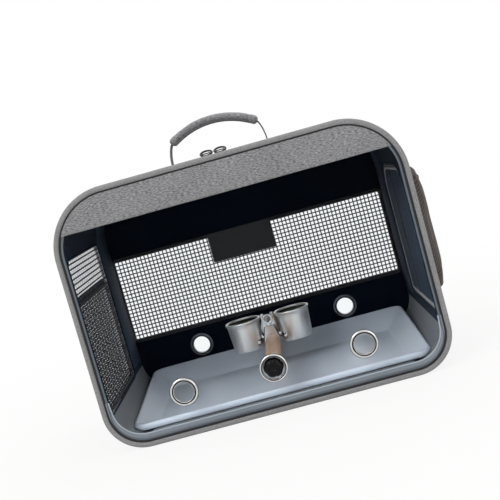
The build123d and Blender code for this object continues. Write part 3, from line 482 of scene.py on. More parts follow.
def fillIn(points, step):
    # a closed 2D loop with points at even steps
    filled = []
    for a, b in zip(points, points[1:] + points[:1]):
        length = math.dist(a, b)
        if length > 1e-7:
            count = max(1, round(length / step))
            filled += [(a[0] + (b[0] - a[0]) * i / count, a[1] + (b[1] - a[1]) * i / count) for i in range(count)]
    return filled


def roundedLoop(low, high, radii, step):
    # a closed rectangle with round corners; radii run low-left, low-right, high-right, high-left, or one for all
    if not isinstance(radii, tuple):
        radii = (radii,) * 4
    corners = [(low[0], low[1], 1, 1), (high[0], low[1], -1, 1), (high[0], high[1], -1, -1), (low[0], high[1], 1, -1)]
    points = []
    for k, ((x, y, inX, inY), radius) in enumerate(zip(corners, radii)):
        turns = max(1, math.ceil(radius * math.pi / 2 / step))
        for i in range(turns + 1):
            a = math.radians((180, 270, 0, 90)[k] + 90 * i / turns)
            points.append((x + inX * radius + radius * math.cos(a), y + inY * radius + radius * math.sin(a)))
    return fillIn(points, step)


def metres(loop):
    return [(a * mm, b * mm) for a, b in loop]


def growLoop(loop, amount):
    # a closed anticlockwise 2D loop moved outwards by an amount
    loop = np.array(loop)
    run = np.roll(loop, -1, 0) - np.roll(loop, 1, 0)
    out = np.stack([run[:, 1], -run[:, 0]], 1) / np.maximum(np.linalg.norm(run, axis=1), 1e-9)[:, None]
    return [tuple(p) for p in loop + out * amount]


# makers shared by the pieces


def look(body, finish, slotName, *replaced, **more):
    # who carries a piece, its finish, the slot that it belongs to and the solids that it stands for
    return {"body": body, "finish": finish, "slot": slotName, "replaces": replaced, **more}


def at(x, y, z):
    return Vector((x * mm, y * mm, z * mm))


def giveUvs(mesh, uvs):
    layer = mesh.uv_layers.new(name="flat")
    order = np.empty(len(mesh.loops), np.int32)
    mesh.loops.foreach_get("vertex_index", order)
    layer.data.foreach_set("uv", np.asarray(uvs, np.float32)[order].ravel())


def makeObject(name, shape, finish):
    verts, faces, uvs = shape
    mesh = bpy.data.meshes.new(name)
    mesh.from_pydata([tuple(v) for v in verts], [], faces)
    if uvs is not None:
        giveUvs(mesh, uvs)
    mesh.materials.append(finishes[finish])
    mesh.shade_smooth()
    mesh.validate()
    mesh.update()
    return addObject(name, mesh)


def dressPiece(obj, part):
    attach(obj, part["body"])
    if part["replaces"]:
        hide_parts(*part["replaces"])
    return obj


def addPiece(name, shape, part):
    return dressPiece(makeObject(name, shape, part["finish"]), part)


def dressNodes(finish, *nodes):
    for node in nodes:
        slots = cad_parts[node].data.materials
        slots.clear()
        slots.append(finishes[finish])


def meshNow(obj):
    bpy.context.view_layer.update()
    return bpy.data.meshes.new_from_object(obj.evaluated_get(bpy.context.evaluated_depsgraph_get()))


def bakeMesh(obj):
    # what the modifiers make becomes the mesh itself
    made = meshNow(obj)
    obj.modifiers.clear()
    obj.data = made
    made.name = obj.name


def workMesh(obj, weld, outwards=False):
    # joins points closer than weld and turns the faces outwards
    work = bmesh.new()
    work.from_mesh(obj.data)
    bmesh.ops.remove_doubles(work, verts=work.verts, dist=weld * mm)
    if outwards:
        bmesh.ops.recalc_face_normals(work, faces=work.faces)
    work.to_mesh(obj.data)
    work.free()
    obj.data.update()
    return obj


def sharpen(obj):
    # cut edges stay crisp
    obj.data.set_sharp_from_angle(angle=math.radians(40))


def giveThickness(obj, thickness):
    solid = obj.modifiers.new("thickness", "SOLIDIFY")
    solid.thickness, solid.offset, solid.use_even_offset = thickness * mm, -1, True
    bakeMesh(obj)
    sharpen(obj)


def paintFaces(obj, finish, wanted):
    obj.data.materials.append(finishes[finish])
    for face in obj.data.polygons:
        if wanted(face):
            face.material_index = len(obj.data.materials) - 1


def insideLoop(points, loop):
    points, loop = np.asarray(points, float), np.asarray(loop, float)
    hit = np.zeros(len(points), bool)
    for a, b in zip(loop, np.roll(loop, -1, 0)):
        if a[1] != b[1]:
            cross = (points[:, 1] > min(a[1], b[1])) & (points[:, 1] <= max(a[1], b[1]))
            x = a[0] + (points[:, 1] - a[1]) * (b[0] - a[0]) / (b[1] - a[1])
            hit ^= cross & (points[:, 0] < x)
    return hit


def cutPanel(outline, holes, spacing):
    # triangles of a flat panel with openings; also each point's distance from the nearest cut edge
    edgePoints, edges, rows = [], [], []
    for loop in [outline] + holes:
        first = len(edgePoints)
        edgePoints += [tuple(p) for p in loop]
        edges += [(first + i, first + (i + 1) % len(loop)) for i in range(len(loop))]
    low, high = np.min(outline, 0), np.max(outline, 0)
    rowGap = 0.866                                         # rows of even triangles
    for j, y in enumerate(np.arange(low[1] + spacing / 2, high[1], spacing * rowGap)):
        rows += [(x, y) for x in np.arange(low[0] + spacing * (0.5 if j % 2 else 1.0), high[0], spacing)]
    tree = kdtree.KDTree(len(edgePoints))
    for i, p in enumerate(edgePoints):
        tree.insert((*p, 0), i)
    tree.balance()

    def inPanel(points):
        keep = insideLoop(points, outline)
        for hole in holes:
            keep &= ~insideLoop(points, hole)
        return keep

    rows = np.array(rows)
    inner = [tuple(p) for p in rows[inPanel(rows)] if tree.find((*p, 0))[2] > spacing * 0.55]
    verts, _, tris, *_ = delaunay_2d_cdt([Vector(p) for p in edgePoints + inner], edges, [], 0, 1e-7)
    verts = np.array([tuple(v) for v in verts])
    keep = inPanel(np.array([verts[list(t)].mean(0) for t in tris]))
    return verts, [t for t, k in zip(tris, keep) if k], [tree.find((*v, 0))[2] for v in verts]


def clothPanel(name, outline, holes, spacing, place, cloth):
    # a cut panel laid in space by place(u, v, away), with a thickness; spacing and thickness in mm
    verts, tris, away = cutPanel(outline, holes, spacing * mm)
    spots = [place(*v, d) for v, d in zip(verts, away)]
    if cloth.get("flip"):
        tris = [tuple(reversed(t)) for t in tris]
    obj = makeObject(name, (spots, tris, verts), cloth["finish"])
    if cloth.get("weld"):
        workMesh(obj, 0.02)
    giveThickness(obj, cloth["thickness"])
    return dressPiece(obj, cloth)


def swell(distance, reach, amount):
    # how far a stuffed panel stands out at a distance from its seam; reach and amount in mm
    return amount * mm * math.sin(min(1.0, max(0.0, distance / (reach * mm))) * math.pi / 2)


def crease(x, y, z, size, amount):
    # size and amount in mm
    return amount * mm * noise.noise(Vector((x, y, z)) / (size * mm))


def fadeIn(away, reach):
    return min(1, away / (reach * mm))


def tubeFaces(rows, wide, closed=False):
    # quads between rings of equally many points, capped unless the last ring joins the first
    faces = []
    for i in range(rows if closed else rows - 1):
        here, ahead = i * wide, (i + 1) % rows * wide
        faces += [(here + k, here + (k + 1) % wide, ahead + (k + 1) % wide, ahead + k) for k in range(wide)]
    if not closed:
        faces += [tuple(range(wide - 1, -1, -1)), tuple((rows - 1) * wide + k for k in range(wide))]
    return faces


def sweepSection(points, ups, closed, section):
    # a section carried along a path; a section point is (along the up direction, sideways), in mm
    count, run = len(points), 0.0
    verts, uvs, around = [], [], [0.0]
    section = metres(section)
    for a, b in zip(section, section[1:]):
        around.append(around[-1] + math.dist(a, b))
    for i in range(count):
        before = points[i - 1] if closed or i else points[i]
        after = points[(i + 1) % count] if closed or i < count - 1 else points[i]
        along = (after - before).normalized()
        up = (ups[i] - along * ups[i].dot(along)).normalized()
        sideways = along.cross(up)
        if i:
            run += (points[i] - points[i - 1]).length
        verts += [points[i] + up * a + sideways * b for a, b in section]
        uvs += [(run, share) for share in around]
    return verts, tubeFaces(count, len(section), closed), uvs


def merged(shapes):
    verts, faces, uvs = [], [], []
    for v, f, u in shapes:
        faces += [tuple(i + len(verts) for i in face) for face in f]
        verts += v
        uvs += u
    return verts, faces, uvs


def addSweep(name, paths, section, part):
    return addPiece(name, merged(sweepSection(*path, section) for path in paths), part)


def roundSection(radius, count=14, squash=1.0):
    angles = [-2 * math.pi * k / count for k in range(count)]
    return [(radius * squash * math.cos(a), radius * math.sin(a)) for a in angles]


def stripSection(low, high, width, edge=0.3):
    # a flat strip from low to high along the up direction, with softened edges
    half = width / 2
    edge = min(edge, (high - low) / 2.2)
    return [(low, -half + edge), (low, half - edge), (low + edge, half), (high - edge, half),
            (high, half - edge), (high, -half + edge), (high - edge, -half), (low + edge, -half)]


def crownSection(low, high, width, count=8):
    # flat below, arched above
    angles = [math.pi * k / count for k in range(count, -1, -1)]
    return [(low + (high - low) * math.sin(a), width / 2 * math.cos(a)) for a in angles]


def turnProfile(profile, origin, axis, steps, closed):
    # a profile of (radius, height) in mm, turned about an axis
    axis = Vector(axis)
    across = axis.orthogonal().normalized()
    third = axis.cross(across)
    verts, faces, uvs, rows = [], [], [], []
    for radius, height in metres(profile):
        angles = [2 * math.pi * i / steps for i in range(steps if radius else 1)]
        rows.append(range(len(verts), len(verts) + len(angles)))
        verts += [Vector(origin) + axis * height + (across * math.cos(a) + third * math.sin(a)) * radius
                  for a in angles]
        uvs += [(a * radius, height) for a in angles]
    for low, high in zip(rows, [*rows[1:], rows[0]] if closed else rows[1:]):
        for i in range(steps):
            j = (i + 1) % steps
            if len(low) == 1:
                faces.append((low[0], high[j], high[i]))
            elif len(high) == 1:
                faces.append((low[i], low[j], high[0]))
            else:
                faces.append((low[i], low[j], high[j], high[i]))
    return verts, faces, uvs


def addTurned(name, turns, part, steps, closed=False):
    obj = addPiece(name, merged(turnProfile(*turn, steps, closed) for turn in turns), part)
    return workMesh(obj, 0.01, outwards=True)


def addLoft(name, rings, part):
    # rings of equally many points joined one after another, closed at both ends
    verts = [v for loop in rings for v in loop]
    obj = addPiece(name, (verts, tubeFaces(len(rings), len(rings[0])), [(v[0], v[1]) for v in verts]), part)
    return workMesh(obj, 0.01, outwards=True)


# shapes that repeat: stitches, zip teeth and the cords of the nets


def startGroup(name, sizes, start=()):
    tree = bpy.data.node_groups.new(name, "GeometryNodeTree")
    kinds = {**dict.fromkeys(start, "Geometry"), **dict.fromkeys(sizes, "Float"), "Finish": "Material"}
    add = tree.interface.new_socket
    keys = {key: add(name=key, in_out="INPUT", socket_type="NodeSocket" + kind).identifier
            for key, kind in kinds.items()}
    add(name="Geometry", in_out="OUTPUT", socket_type="NodeSocketGeometry")
    return tree, keys, addNode(tree, "NodeGroupInput").outputs


def endGroup(tree, geometry, finish):
    real = addNode(tree, "GeometryNodeRealizeInstances", {"Geometry": geometry})
    dressed = addNode(tree, "GeometryNodeSetMaterial", {"Geometry": real, "Material": finish})
    addNode(tree, "NodeGroupOutput", {"Geometry": dressed})


def combined(tree, **parts):
    return addNode(tree, "ShaderNodeCombineXYZ", parts)


def repeatTree():
    # beads set along lines, each turned along its line and upright to "lift"
    tree, keys, given = startGroup(
        "repeat along lines", ("Spacing", "Length", "Width", "Height", "Lean"), ("Geometry",))
    line = addNode(tree, "GeometryNodeMeshToCurve", {"Mesh": given["Geometry"]})
    even = addNode(tree, "GeometryNodeResampleCurve", {"mode": "LENGTH", "Curve": line, "Length": given["Spacing"]})
    lift = addNode(tree, "GeometryNodeInputNamedAttribute", {"data_type": "FLOAT_VECTOR", "Name": "lift"})
    along = addNode(tree, "FunctionNodeAlignRotationToVector", {
        "axis": "X", "Vector": addNode(tree, "GeometryNodeInputTangent")})
    upright = addNode(tree, "FunctionNodeAlignRotationToVector", {
        "axis": "Z", "pivot_axis": "X", "Rotation": along, "Vector": lift.outputs["Attribute"]})
    turned = addNode(tree, "FunctionNodeRotateRotation", {
        "rotation_space": "LOCAL", "Rotation": upright, "Rotate By": combined(tree, Z=given["Lean"])})
    bead = addNode(tree, "GeometryNodeMeshUVSphere", {"Segments": 6, "Rings": 4, "Radius": 0.5})
    size = combined(tree, X=given["Length"], Y=given["Width"], Z=given["Height"])
    sized = addNode(tree, "GeometryNodeTransform", {"Geometry": bead, "Scale": size})
    placed = addNode(tree, "GeometryNodeInstanceOnPoints", {"Points": even, "Instance": sized, "Rotation": turned})
    endGroup(tree, placed, given["Finish"])
    return tree, keys


def netTree():
    # two sets of cords that pass over and under each other, kept inside a rounded window
    tree, keys, given = startGroup("woven net", (
        "Width", "Height", "Across", "Up", "Cord", "Wave", "Top Radius", "Foot Radius"))

    def calc(operation, *values):
        return maths(tree, operation, *values)

    spot = addNode(tree, "ShaderNodeSeparateXYZ", {0: addNode(tree, "GeometryNodeInputPosition")}).outputs
    halves = [calc("MULTIPLY", given[key], 0.5) for key in ("Width", "Height")]
    gaps = given["Across"], given["Up"]
    waves = [calc("COSINE", calc("MULTIPLY", calc("DIVIDE", calc("ADD", spot[k], halves[k]), gaps[k]), math.pi))
             for k in (0, 1)]
    wave = calc("MULTIPLY", calc("MULTIPLY", *waves), given["Wave"])
    widening = calc("SUBTRACT", given["Top Radius"], given["Foot Radius"])
    radius = calc("MULTIPLY_ADD", calc("GREATER_THAN", spot[1], 0.0), widening, given["Foot Radius"])
    over = [calc("MAXIMUM", calc("SUBTRACT", calc("ABSOLUTE", spot[k]), calc("SUBTRACT", halves[k], radius)), 0.0)
            for k in (0, 1)]
    reach = calc("SQRT", calc("ADD", *[calc("POWER", part, 2.0) for part in over]))
    outside = calc("GREATER_THAN", reach, calc("ADD", radius, 0.00005))
    circle = addNode(tree, "GeometryNodeCurvePrimitiveCircle", {"Resolution": 5, "Radius": given["Cord"]})
    sets = []
    for k, sign in ((0, 1.0), (1, -1.0)):
        other = 1 - k                                      # the cords run along k and are set out along the other
        cords = calc("ADD", calc("FLOOR", calc("DIVIDE", calc("MULTIPLY", halves[other], 2.0), gaps[other])), 1.0)
        first = combined(tree, **{"XY"[other]: calc("MULTIPLY", halves[other], -1.0)})
        spots = addNode(tree, "GeometryNodeMeshLine", {
            "Count": cords, "Start Location": first, "Offset": combined(tree, **{"XY"[other]: gaps[other]})})
        low = combined(tree, **{"XY"[k]: calc("MULTIPLY", halves[k], -1.0)})
        high = combined(tree, **{"XY"[k]: halves[k]})
        cord = addNode(tree, "GeometryNodeCurvePrimitiveLine", {"Start": low, "End": high})
        placed = addNode(tree, "GeometryNodeInstanceOnPoints", {"Points": spots, "Instance": cord})
        real = addNode(tree, "GeometryNodeRealizeInstances", {"Geometry": placed})
        fine = addNode(tree, "GeometryNodeResampleCurve", {
            "mode": "LENGTH", "Curve": real, "Length": calc("MULTIPLY", gaps[k], 0.25)})
        lift = combined(tree, Z=calc("MULTIPLY", wave, sign))
        woven = addNode(tree, "GeometryNodeSetPosition", {"Geometry": fine, "Offset": lift})
        kept = addNode(tree, "GeometryNodeDeleteGeometry", {
            "domain": "POINT", "Geometry": woven, "Selection": outside})
        sets.append(addNode(tree, "GeometryNodeCurveToMesh", {
            "Fill Caps": True, "Curve": kept, "Profile Curve": circle}))
    both = addNode(tree, "GeometryNodeJoinGeometry", {"Geometry": sets[0]})
    tree.links.new(sets[1].outputs[0], both.inputs[0])
    endGroup(tree, both, given["Finish"])
    return tree, keys


repeatGroup, netGroup = repeatTree(), netTree()


def addGrown(name, start, group, values, part, place=None):
    # a piece that a node group makes from a start mesh, then laid in space by place
    tree, keys = group
    holder = addObject("holder", start)
    maker = holder.modifiers.new("maker", "NODES")
    maker.node_group = tree
    for key, value in {**values, "Finish": finishes[part["finish"]]}.items():
        maker[keys[key]] = value
    mesh = meshNow(holder)
    bpy.data.objects.remove(holder)
    mesh.name = name
    mesh.shade_smooth()
    if place:
        flat = np.empty(len(mesh.vertices) * 3, np.float32)
        mesh.vertices.foreach_get("co", flat)
        mesh.vertices.foreach_set("co", np.ravel([place(*p) for p in flat.reshape(-1, 3)]))
        mesh.update()
    return dressPiece(addObject(name, mesh), part)


# spacing, length, width and height of the zips' teeth in mm
teeth = {"front": (1.75, 1.15, 2.3, 2.2), "side": (1.75, 1.15, 1.35, 2.1), "pocket": (1.75, 1.15, 1.5, 1.0)}


def addRow(name, paths, size, part, lean=0):
    # beads (stitches or teeth) along paths; size is spacing, length, width and height in mm
    verts, lifts, edges = [], [], []
    for points, ups, closed in paths:
        first = len(verts)
        verts += [tuple(p) for p in points]
        lifts += [tuple(u) for u in ups]
        edges += [(first + i, first + i + 1) for i in range(len(points) - 1)]
        if closed:
            edges.append((first + len(points) - 1, first))
    start = bpy.data.meshes.new("lines")
    start.from_pydata(verts, edges, [])
    start.attributes.new("lift", "FLOAT_VECTOR", "POINT").data.foreach_set("vector", np.ravel(lifts))
    values = dict(zip(("Spacing", "Length", "Width", "Height"), (length * mm for length in size)))
    return addGrown(name, start, repeatGroup, {**values, "Lean": math.radians(lean)}, part)


def addNet(name, net, place, part):
    # a woven net made flat about its middle, then laid in space by place(u, v, w); sizes in mm
    wide, high = (side * mm for side in net["size"])
    top, foot = (radius * mm for radius in net["radii"])
    obj = addGrown(name, bpy.data.meshes.new("empty"), netGroup, {
        "Width": wide, "Height": high, "Across": net["across"] * mm, "Up": net["up"] * mm,
        "Cord": net["cord"] * mm / 2, "Wave": net["cord"] * mm * 0.42, "Top Radius": top, "Foot Radius": foot},
        part, place)
    return obj


# padded wrap with its window and door openings

wrap = {
    "thickness": 4.0, "out": 5.0,                          # mm
    "swell": 1.5, "swellReach": 16.0, "creases": 0.5, "creaseSize": 45.0, "fadeReach": 14.0,
    "step": 7.0, "tapeWidth": 6.0, "tapeThickness": 0.6,
    "laneY": 73.0, "laneWidth": 11.0, "laneDepth": 0.8,    # pressed flat where the side zip's pull runs
    "stitchInset": 4.0, "stitchRise": 0.15,
}
opening = {
    "front": -105.0, "back": 68.0, "top": 240.0, "foot": 62.0, "radius": 38.0, "footRadius": 6.0,
    "slotWidth": 3.0, "slotFoot": 50.0,                    # the zip runs on into a slot at both feet
}
window = {"front": -117.0, "foot": 48.0, "top": 237.0, "radius": 9.0, "sag": 3.0}   # it sags towards the front
wrapLow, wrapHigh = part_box("top_wall")


def archLoop(inset=0.0, step=5.0):
    # the side opening in (y, z), in metres
    radius, footRadius = opening["radius"] - inset, max(0.5, opening["footRadius"] - inset)
    return metres(roundedLoop(
        (opening["front"] + inset, opening["foot"] + inset), (opening["back"] - inset, opening["top"] - inset),
        (footRadius, footRadius, radius, radius), step))


def windowHeight(y, z):
    return z - window["sag"] * (opening["back"] - y) / (opening["back"] - window["front"])


def leftLoop(step=5.0):
    # the left window in (y, z), in metres
    foot, top = opening["footRadius"], window["radius"]
    low, high = (window["front"], window["foot"]), (opening["back"], window["top"])
    loop = roundedLoop(low, high, (foot, foot, top, top), step)
    return metres((y, windowHeight(y, z)) for y, z in loop)


def doorLoop(step=5.0):
    # the door opening with its two narrow slots
    front, back, low, foot, slot = (opening[key] * mm for key in ("front", "back", "slotFoot", "foot", "slotWidth"))
    arch = [p for p in archLoop(0, step) if p[1] > (opening["foot"] + opening["footRadius"]) * mm]
    first = max(range(len(arch)), key=lambda i: (arch[i][0], -arch[i][1]))
    tail = [(front, foot), (front, low), (front + slot, low), (front + slot, foot), (back - slot, foot),
            (back - slot, low), (back, low), (back, foot)]
    return fillIn(arch[first:] + arch[:first] + tail, step * mm)


def roundSeam(loop, grow, side):
    # a side loop in (y, z) as points (length round the seam, y)
    return [(lengthAtHeight(z, grow, side), y) for y, z in loop]


def wrapSpot(s, y, away):
    x, z, nx, nz = seamPoint(s, 0)
    fade = min(1.0, max(0.0, nz * 2 + 2.2))                # no swelling underneath, where it stands
    rise = swell(away, wrap["swellReach"], wrap["swell"]) * fade
    rise += crease(x, y, z, wrap["creaseSize"], wrap["creases"]) * fade * fadeIn(away, wrap["fadeReach"])
    if x > seam["half"] - 8 * mm:
        rise *= 1 - wrap["laneDepth"] * math.exp(-((y - wrap["laneY"] * mm) / (wrap["laneWidth"] * mm))**2)
    x, z, nx, nz = seamPoint(s, wrap["out"] * mm + rise)
    return Vector((x, y, z))


def bandOutline(y0, y1, start, end, step):
    # outline of a band in (length, y) with even edge points
    return fillIn([(start, y0), (end, y0), (end, y1), (start, y1)], step * mm)


wrapShell = clothPanel(
    "wrapShell", bandOutline(wrapLow.y, wrapHigh.y, 0, loopLength, 6),
    [roundSeam(leftLoop(), wrap["out"] * mm, -1), roundSeam(doorLoop(), wrap["out"] * mm, 1)], wrap["step"], wrapSpot,
    look("carrier", "heather", "wrap_fabric", "top_wall", "bottom_wall", "left_wall", "right_wall",
         thickness=wrap["thickness"], flip=True, weld=True))


def sidePath(loop, grow, side):
    spots = [seamPoint(lengthAtHeight(z, grow, side), grow) for y, z in loop]
    return ([Vector((x, y, z)) for (x, z, nx, nz), (y, _) in zip(spots, loop)],
            [Vector((nx, 0, nz)) for x, z, nx, nz in spots], True)


sideLoops = ((leftLoop(3.0), -1), (archLoop(0, 3.0), 1))
for name, grow, out, section, finish, slotName in (
        ("openingTapes", wrap["tapeWidth"] / 2 + 0.4, wrap["out"],
         stripSection(-0.3, wrap["tapeThickness"], wrap["tapeWidth"]), "piping", "piping_fabric"),
        ("insideTapes", 1.8, 0.0, stripSection(-0.6, 0.2, 3.2), "navy", "navy_lining")):
    addSweep(name, [sidePath(growLoop(loop, grow * mm), out * mm, side) for loop, side in sideLoops], section,
             look("carrier", finish, slotName))
inset = wrap["stitchInset"] * mm
seamRows = [seamLoop((wrap["out"] + wrap["stitchRise"]) * mm, y, 6) for y in (wrapLow.y + inset, wrapHigh.y - inset)]
addRow("wrapStitches", seamRows, (4.2, 3.0, 0.7, 0.6), look("carrier", "thread", "wrap_fabric"))
addSweep("rearPiping", [seamLoop(cordRadius, rearY)], roundSection(cordRadius / mm),
         look("carrier", "piping", "piping_fabric", "rear_piping"))
print("wrap, tapes and rear piping made")

# linings, floor board and base

lining = {
    "out": 0.9, "thickness": 0.8, "ripple": 0.9, "rippleSize": 60.0, "rippleFade": 20.0, "split": 46.0, "step": 9.0,
    "cornerY": 101.0, "cornerWidth": 58.0, "cornerUp": (56.0, 266.0),      # a raised strip of the lighter navy in each rear corner
}
liningLow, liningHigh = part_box("cabin_lining")
splitRight = lengthAtHeight(lining["split"] * mm, lining["out"] * mm)


def liningSpot(s, y, away):
    x, z, nx, nz = seamPoint(s, 0)
    ripple = 0.5 + 0.5 * noise.noise(Vector((x, y * 1.6, z)) / (lining["rippleSize"] * mm))
    underBoard = nz < -0.95                                # flat there
    rise = 0 if underBoard else -lining["ripple"] * mm * ripple * fadeIn(away, lining["rippleFade"])
    x, z, nx, nz = seamPoint(s, lining["out"] * mm + rise)
    return Vector((x, y, z))


def addLining(name, start, end, holes, part):
    outline = bandOutline(liningLow.y, liningHigh.y, start, end, 7)
    return clothPanel(name, outline, holes, lining["step"], liningSpot,
                      {**part, "thickness": lining["thickness"], "flip": True})


liningHoles = [roundSeam(loop, lining["out"] * mm, side) for loop, side in ((leftLoop(), -1), (archLoop(), 1))]
navyLining = addLining("navyLining", splitRight, loopLength - splitRight, liningHoles,
                       look("carrier", "navy", "navy_lining", "cabin_lining"))
splashLining = addLining("splashLining", -splitRight, splitRight, [],
                         look("carrier", "greyLining", "grey_lining", "splash_lining"))

cornerPaths = []
for side in (-1, 1):
    low, high = (lengthAtHeight(z * mm, 0, side) for z in lining["cornerUp"])
    spots = [seamPoint(s, -0.5 * mm) for s in np.linspace(low, high, 60)]
    cornerPaths.append(([Vector((x, lining["cornerY"] * mm, z)) for x, z, nx, nz in spots],
                        [Vector((-nx, 0, -nz)) for x, z, nx, nz in spots], False))
addSweep("cornerNavyStrips", cornerPaths, stripSection(-0.4, 0.8, lining["cornerWidth"], 0.7),
         look("carrier", "lighterNavy", "navy_lining"))


def roundedCorner(point, low, high, reach, radius):
    # a point of the inner rectangle moved out by reach; corners become arcs of five points
    signs = [[s for s, edge in ((-1, low[k] + radius), (1, high[k] - radius)) if abs(point[k] - edge) < 0.01 * mm]
             for k in (0, 1)]
    if all(signs):
        middle = math.atan2(signs[1][0], signs[0][0])
        angles = [middle + d * math.pi / 16 for d in (-4, -2, 0, 2, 4)]
        return [(point[0] + reach * math.cos(a), point[1] + reach * math.sin(a)) for a in angles]
    return [tuple(point[k] + (signs[k][0] if signs[k] else 0) * reach for k in (0, 1))]


def addSlab(name, node, radius, edge, part):
    # a padded board with softened edges that fills a node's box
    low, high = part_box(node)
    inner = roundedLoop((low.x + radius, low.y + radius), (high.x - radius, high.y - radius), 0.001 * mm, 8 * mm)
    rings = []
    for inset, z in ((edge, low.z), (0.3 * edge, low.z + 0.3 * edge), (0, low.z + edge), (0, high.z - edge),
                     (0.3 * edge, high.z - 0.3 * edge), (edge, high.z)):
        corners = [roundedCorner(p, low, high, radius - inset, radius) for p in inner]
        rings.append([Vector((x, y, z)) for corner in corners for x, y in corner])
    addLoft(name, rings, {**part, "replaces": (node,)})


addSlab("floorBoard", "floor_board", 6 * mm, 1.1 * mm, look("carrier", "greyLining", "grey_lining"))
addSlab("basePanel", "base_panel", 20 * mm, 1.2 * mm, look("carrier", "heather", "wrap_fabric"))
print("linings, floor and base made")

# back panel with its net window, label and eyelets

back = {
    "inside": 133.0, "outside": 138.0, "lining": 1.0, "swell": 1.2, "swellReach": 18.0, "creases": 0.3,
    "window": ((-200.0, 84.0), (197.0, 202.0)), "windowRadius": 3.0, "borderWidth": 5.0, "borderThickness": 0.7,
    "net": {"across": 5.6, "up": 5.6, "cord": 1.8, "cover": 1.0, "size": (396.6, 117.6), "radii": (3.0, 3.0)},
}
eyelets = {
    "across": (-108.4, 0.0, 108.4), "up": 53.0, "holes": (11.8, 13.0, 11.8), "barrel": 13.9, "flange": 17.0,
    "lip": 1.5, "groove": (0.16, 0.5), "edgeFrom": 0.8,
}


def windowLoop(grow=0.0, step=6.0):
    (x0, z0), (x1, z1) = back["window"]
    return metres(roundedLoop((x0 - grow, z0 - grow), (x1 + grow, z1 + grow), back["windowRadius"] + grow, step))


def backOutside(x, z, away):
    rise = swell(away, back["swellReach"], back["swell"]) + crease(x, 0, z, 50, back["creases"])
    return Vector((x, back["outside"] * mm + min(rise, away * 0.5), z))


def backInside(x, z, away):
    return Vector((x, back["inside"] * mm - crease(x, 1, z, 60, 0.25) * fadeIn(away, 25), z))


holeRadius = (eyelets["barrel"] + 0.1) * mm
eyeletHoles = [[(x * mm + holeRadius * math.cos(a), eyelets["up"] * mm + holeRadius * math.sin(a))
                for a in (2 * math.pi * i / 40 for i in range(40))] for x in eyelets["across"]]
backHoles = [windowLoop()] + eyeletHoles
backCloth = clothPanel("backCloth", flatSeam(), backHoles, 9, backOutside, look(
    "carrier", "heather", "wrap_fabric", "back_panel", flip=True,
    thickness=back["outside"] - back["inside"] - back["lining"]))
# the back's lining takes the navy painted darker: painted shade
backLining = clothPanel("backLining", flatSeam(), backHoles, 10, backInside,
                        look("carrier", "shadedNavy", "navy_lining", thickness=back["lining"] * 0.9))

for name, y, up in (("innerWindowBorder", back["inside"], -1), ("outerWindowBorder", back["outside"], 1)):
    border = [Vector((x, y * mm, z)) for x, z in windowLoop(back["borderWidth"] / 2 - 0.5, 5.0)]
    addSweep(name, [facing(border, (0, up, 0))], stripSection(-0.4, back["borderThickness"], back["borderWidth"]),
             look("carrier", "tape", "zip_tape"))


def addFlatStitches(name, loop, y, size, slotName):
    points = [Vector((x, y * mm, z)) for x, z in loop]
    addRow(name, [facing(points, (0, -1, 0))], size, look("carrier", "darkThread", slotName))


addFlatStitches("borderStitches", windowLoop(3.4, 5.0), back["inside"] - back["borderThickness"], (3.6, 2.6, 0.6, 0.4),
                "zip_tape")
windowX, windowZ = ((a + b) / 2 * mm for a, b in zip(*back["window"]))
addNet("backNet", back["net"], lambda u, v, w: (windowX + u, rearY - 0.8 * w, windowZ + v),
       look("carrier", "netCord", "black_mesh", "back_mesh"))

label = {"low": (-58.0, 164.0), "high": (36.0, 206.0), "radius": 0.8, "thickness": 0.8, "face": 132.2}


def labelSpot(x, z, away):
    return Vector((x, label["face"] * mm - min(0.25 * mm, away * 0.1) + crease(x, 2, z, 20, 0.08), z))


labelLoop = metres(roundedLoop(label["low"], label["high"], label["radius"], 4.0))
labelPatch = clothPanel("labelPatch", labelLoop, [], 5, labelSpot, look(
    "carrier", "satin", "label_fabric", "label_patch", thickness=label["thickness"]))
addFlatStitches("labelStitches", growLoop(labelLoop, -2 * mm), label["face"] - 0.2, (3.2, 2.3, 0.5, 0.4),
                "label_fabric")


def eyeletProfile(clothFront, clothBack, hole):
    # two pressed rings rolled over the cloth; heights run front to back
    barrel, flange, lip = (eyelets[key] for key in ("barrel", "flange", "lip"))
    # share of the way from the hole to the edge, and height as a share of the lip
    side = [(0, -0.23), (0.01, 0.33), (0.08, 0.85), (0.16, 1), (0.25, 0.8), (0.29, 0.3), (0.34, 0.25), (0.38, 0.6),
            (0.48, 0.92), (0.6, 1), (0.73, 0.9), (0.85, 0.66), (0.96, 0.32), (1, 0.05)]
    side = [(hole + (flange - hole) * share, -lip * high) for share, high in side]
    return ([(r, clothFront + h) for r, h in side] + [(barrel, clothFront - 0.05), (barrel, clothBack + 0.05)]
            + [(r, clothBack - h) for r, h in reversed(side)])


def addEyelets(name, clothFront, clothBack, part):
    turns = [(eyeletProfile(clothFront, clothBack, hole), at(x, 0, eyelets["up"]), (0, 1, 0))
             for x, hole in zip(eyelets["across"], eyelets["holes"])]
    obj = addTurned(name, turns, part, 64, closed=True)

    def shareOut(face):
        # how far from the hole to the pressed edge
        away, hole = min((math.hypot(face.center.x / mm - x, face.center.z / mm - eyelets["up"]), h)
                         for x, h in zip(eyelets["across"], eyelets["holes"]))
        return (away - hole) / (eyelets["flange"] - hole)

    # painted shade: darker nickel in the groove and on the pressed edge of every ring
    low, high = eyelets["groove"]
    paintFaces(obj, "grooveShadeNickel", lambda face: low < shareOut(face) < high)
    paintFaces(obj, "shadedNickel", lambda face: shareOut(face) > eyelets["edgeFrom"])


# the inside rings take the nickel painted dark: a painted reflection of the dark cabin
addEyelets("rearEyelets", back["inside"], back["outside"],
           look("carrier", "shadedNickel", "eyelet_metal", "rear_grommets"))
print("back panel made")

# left side: net window and net pocket

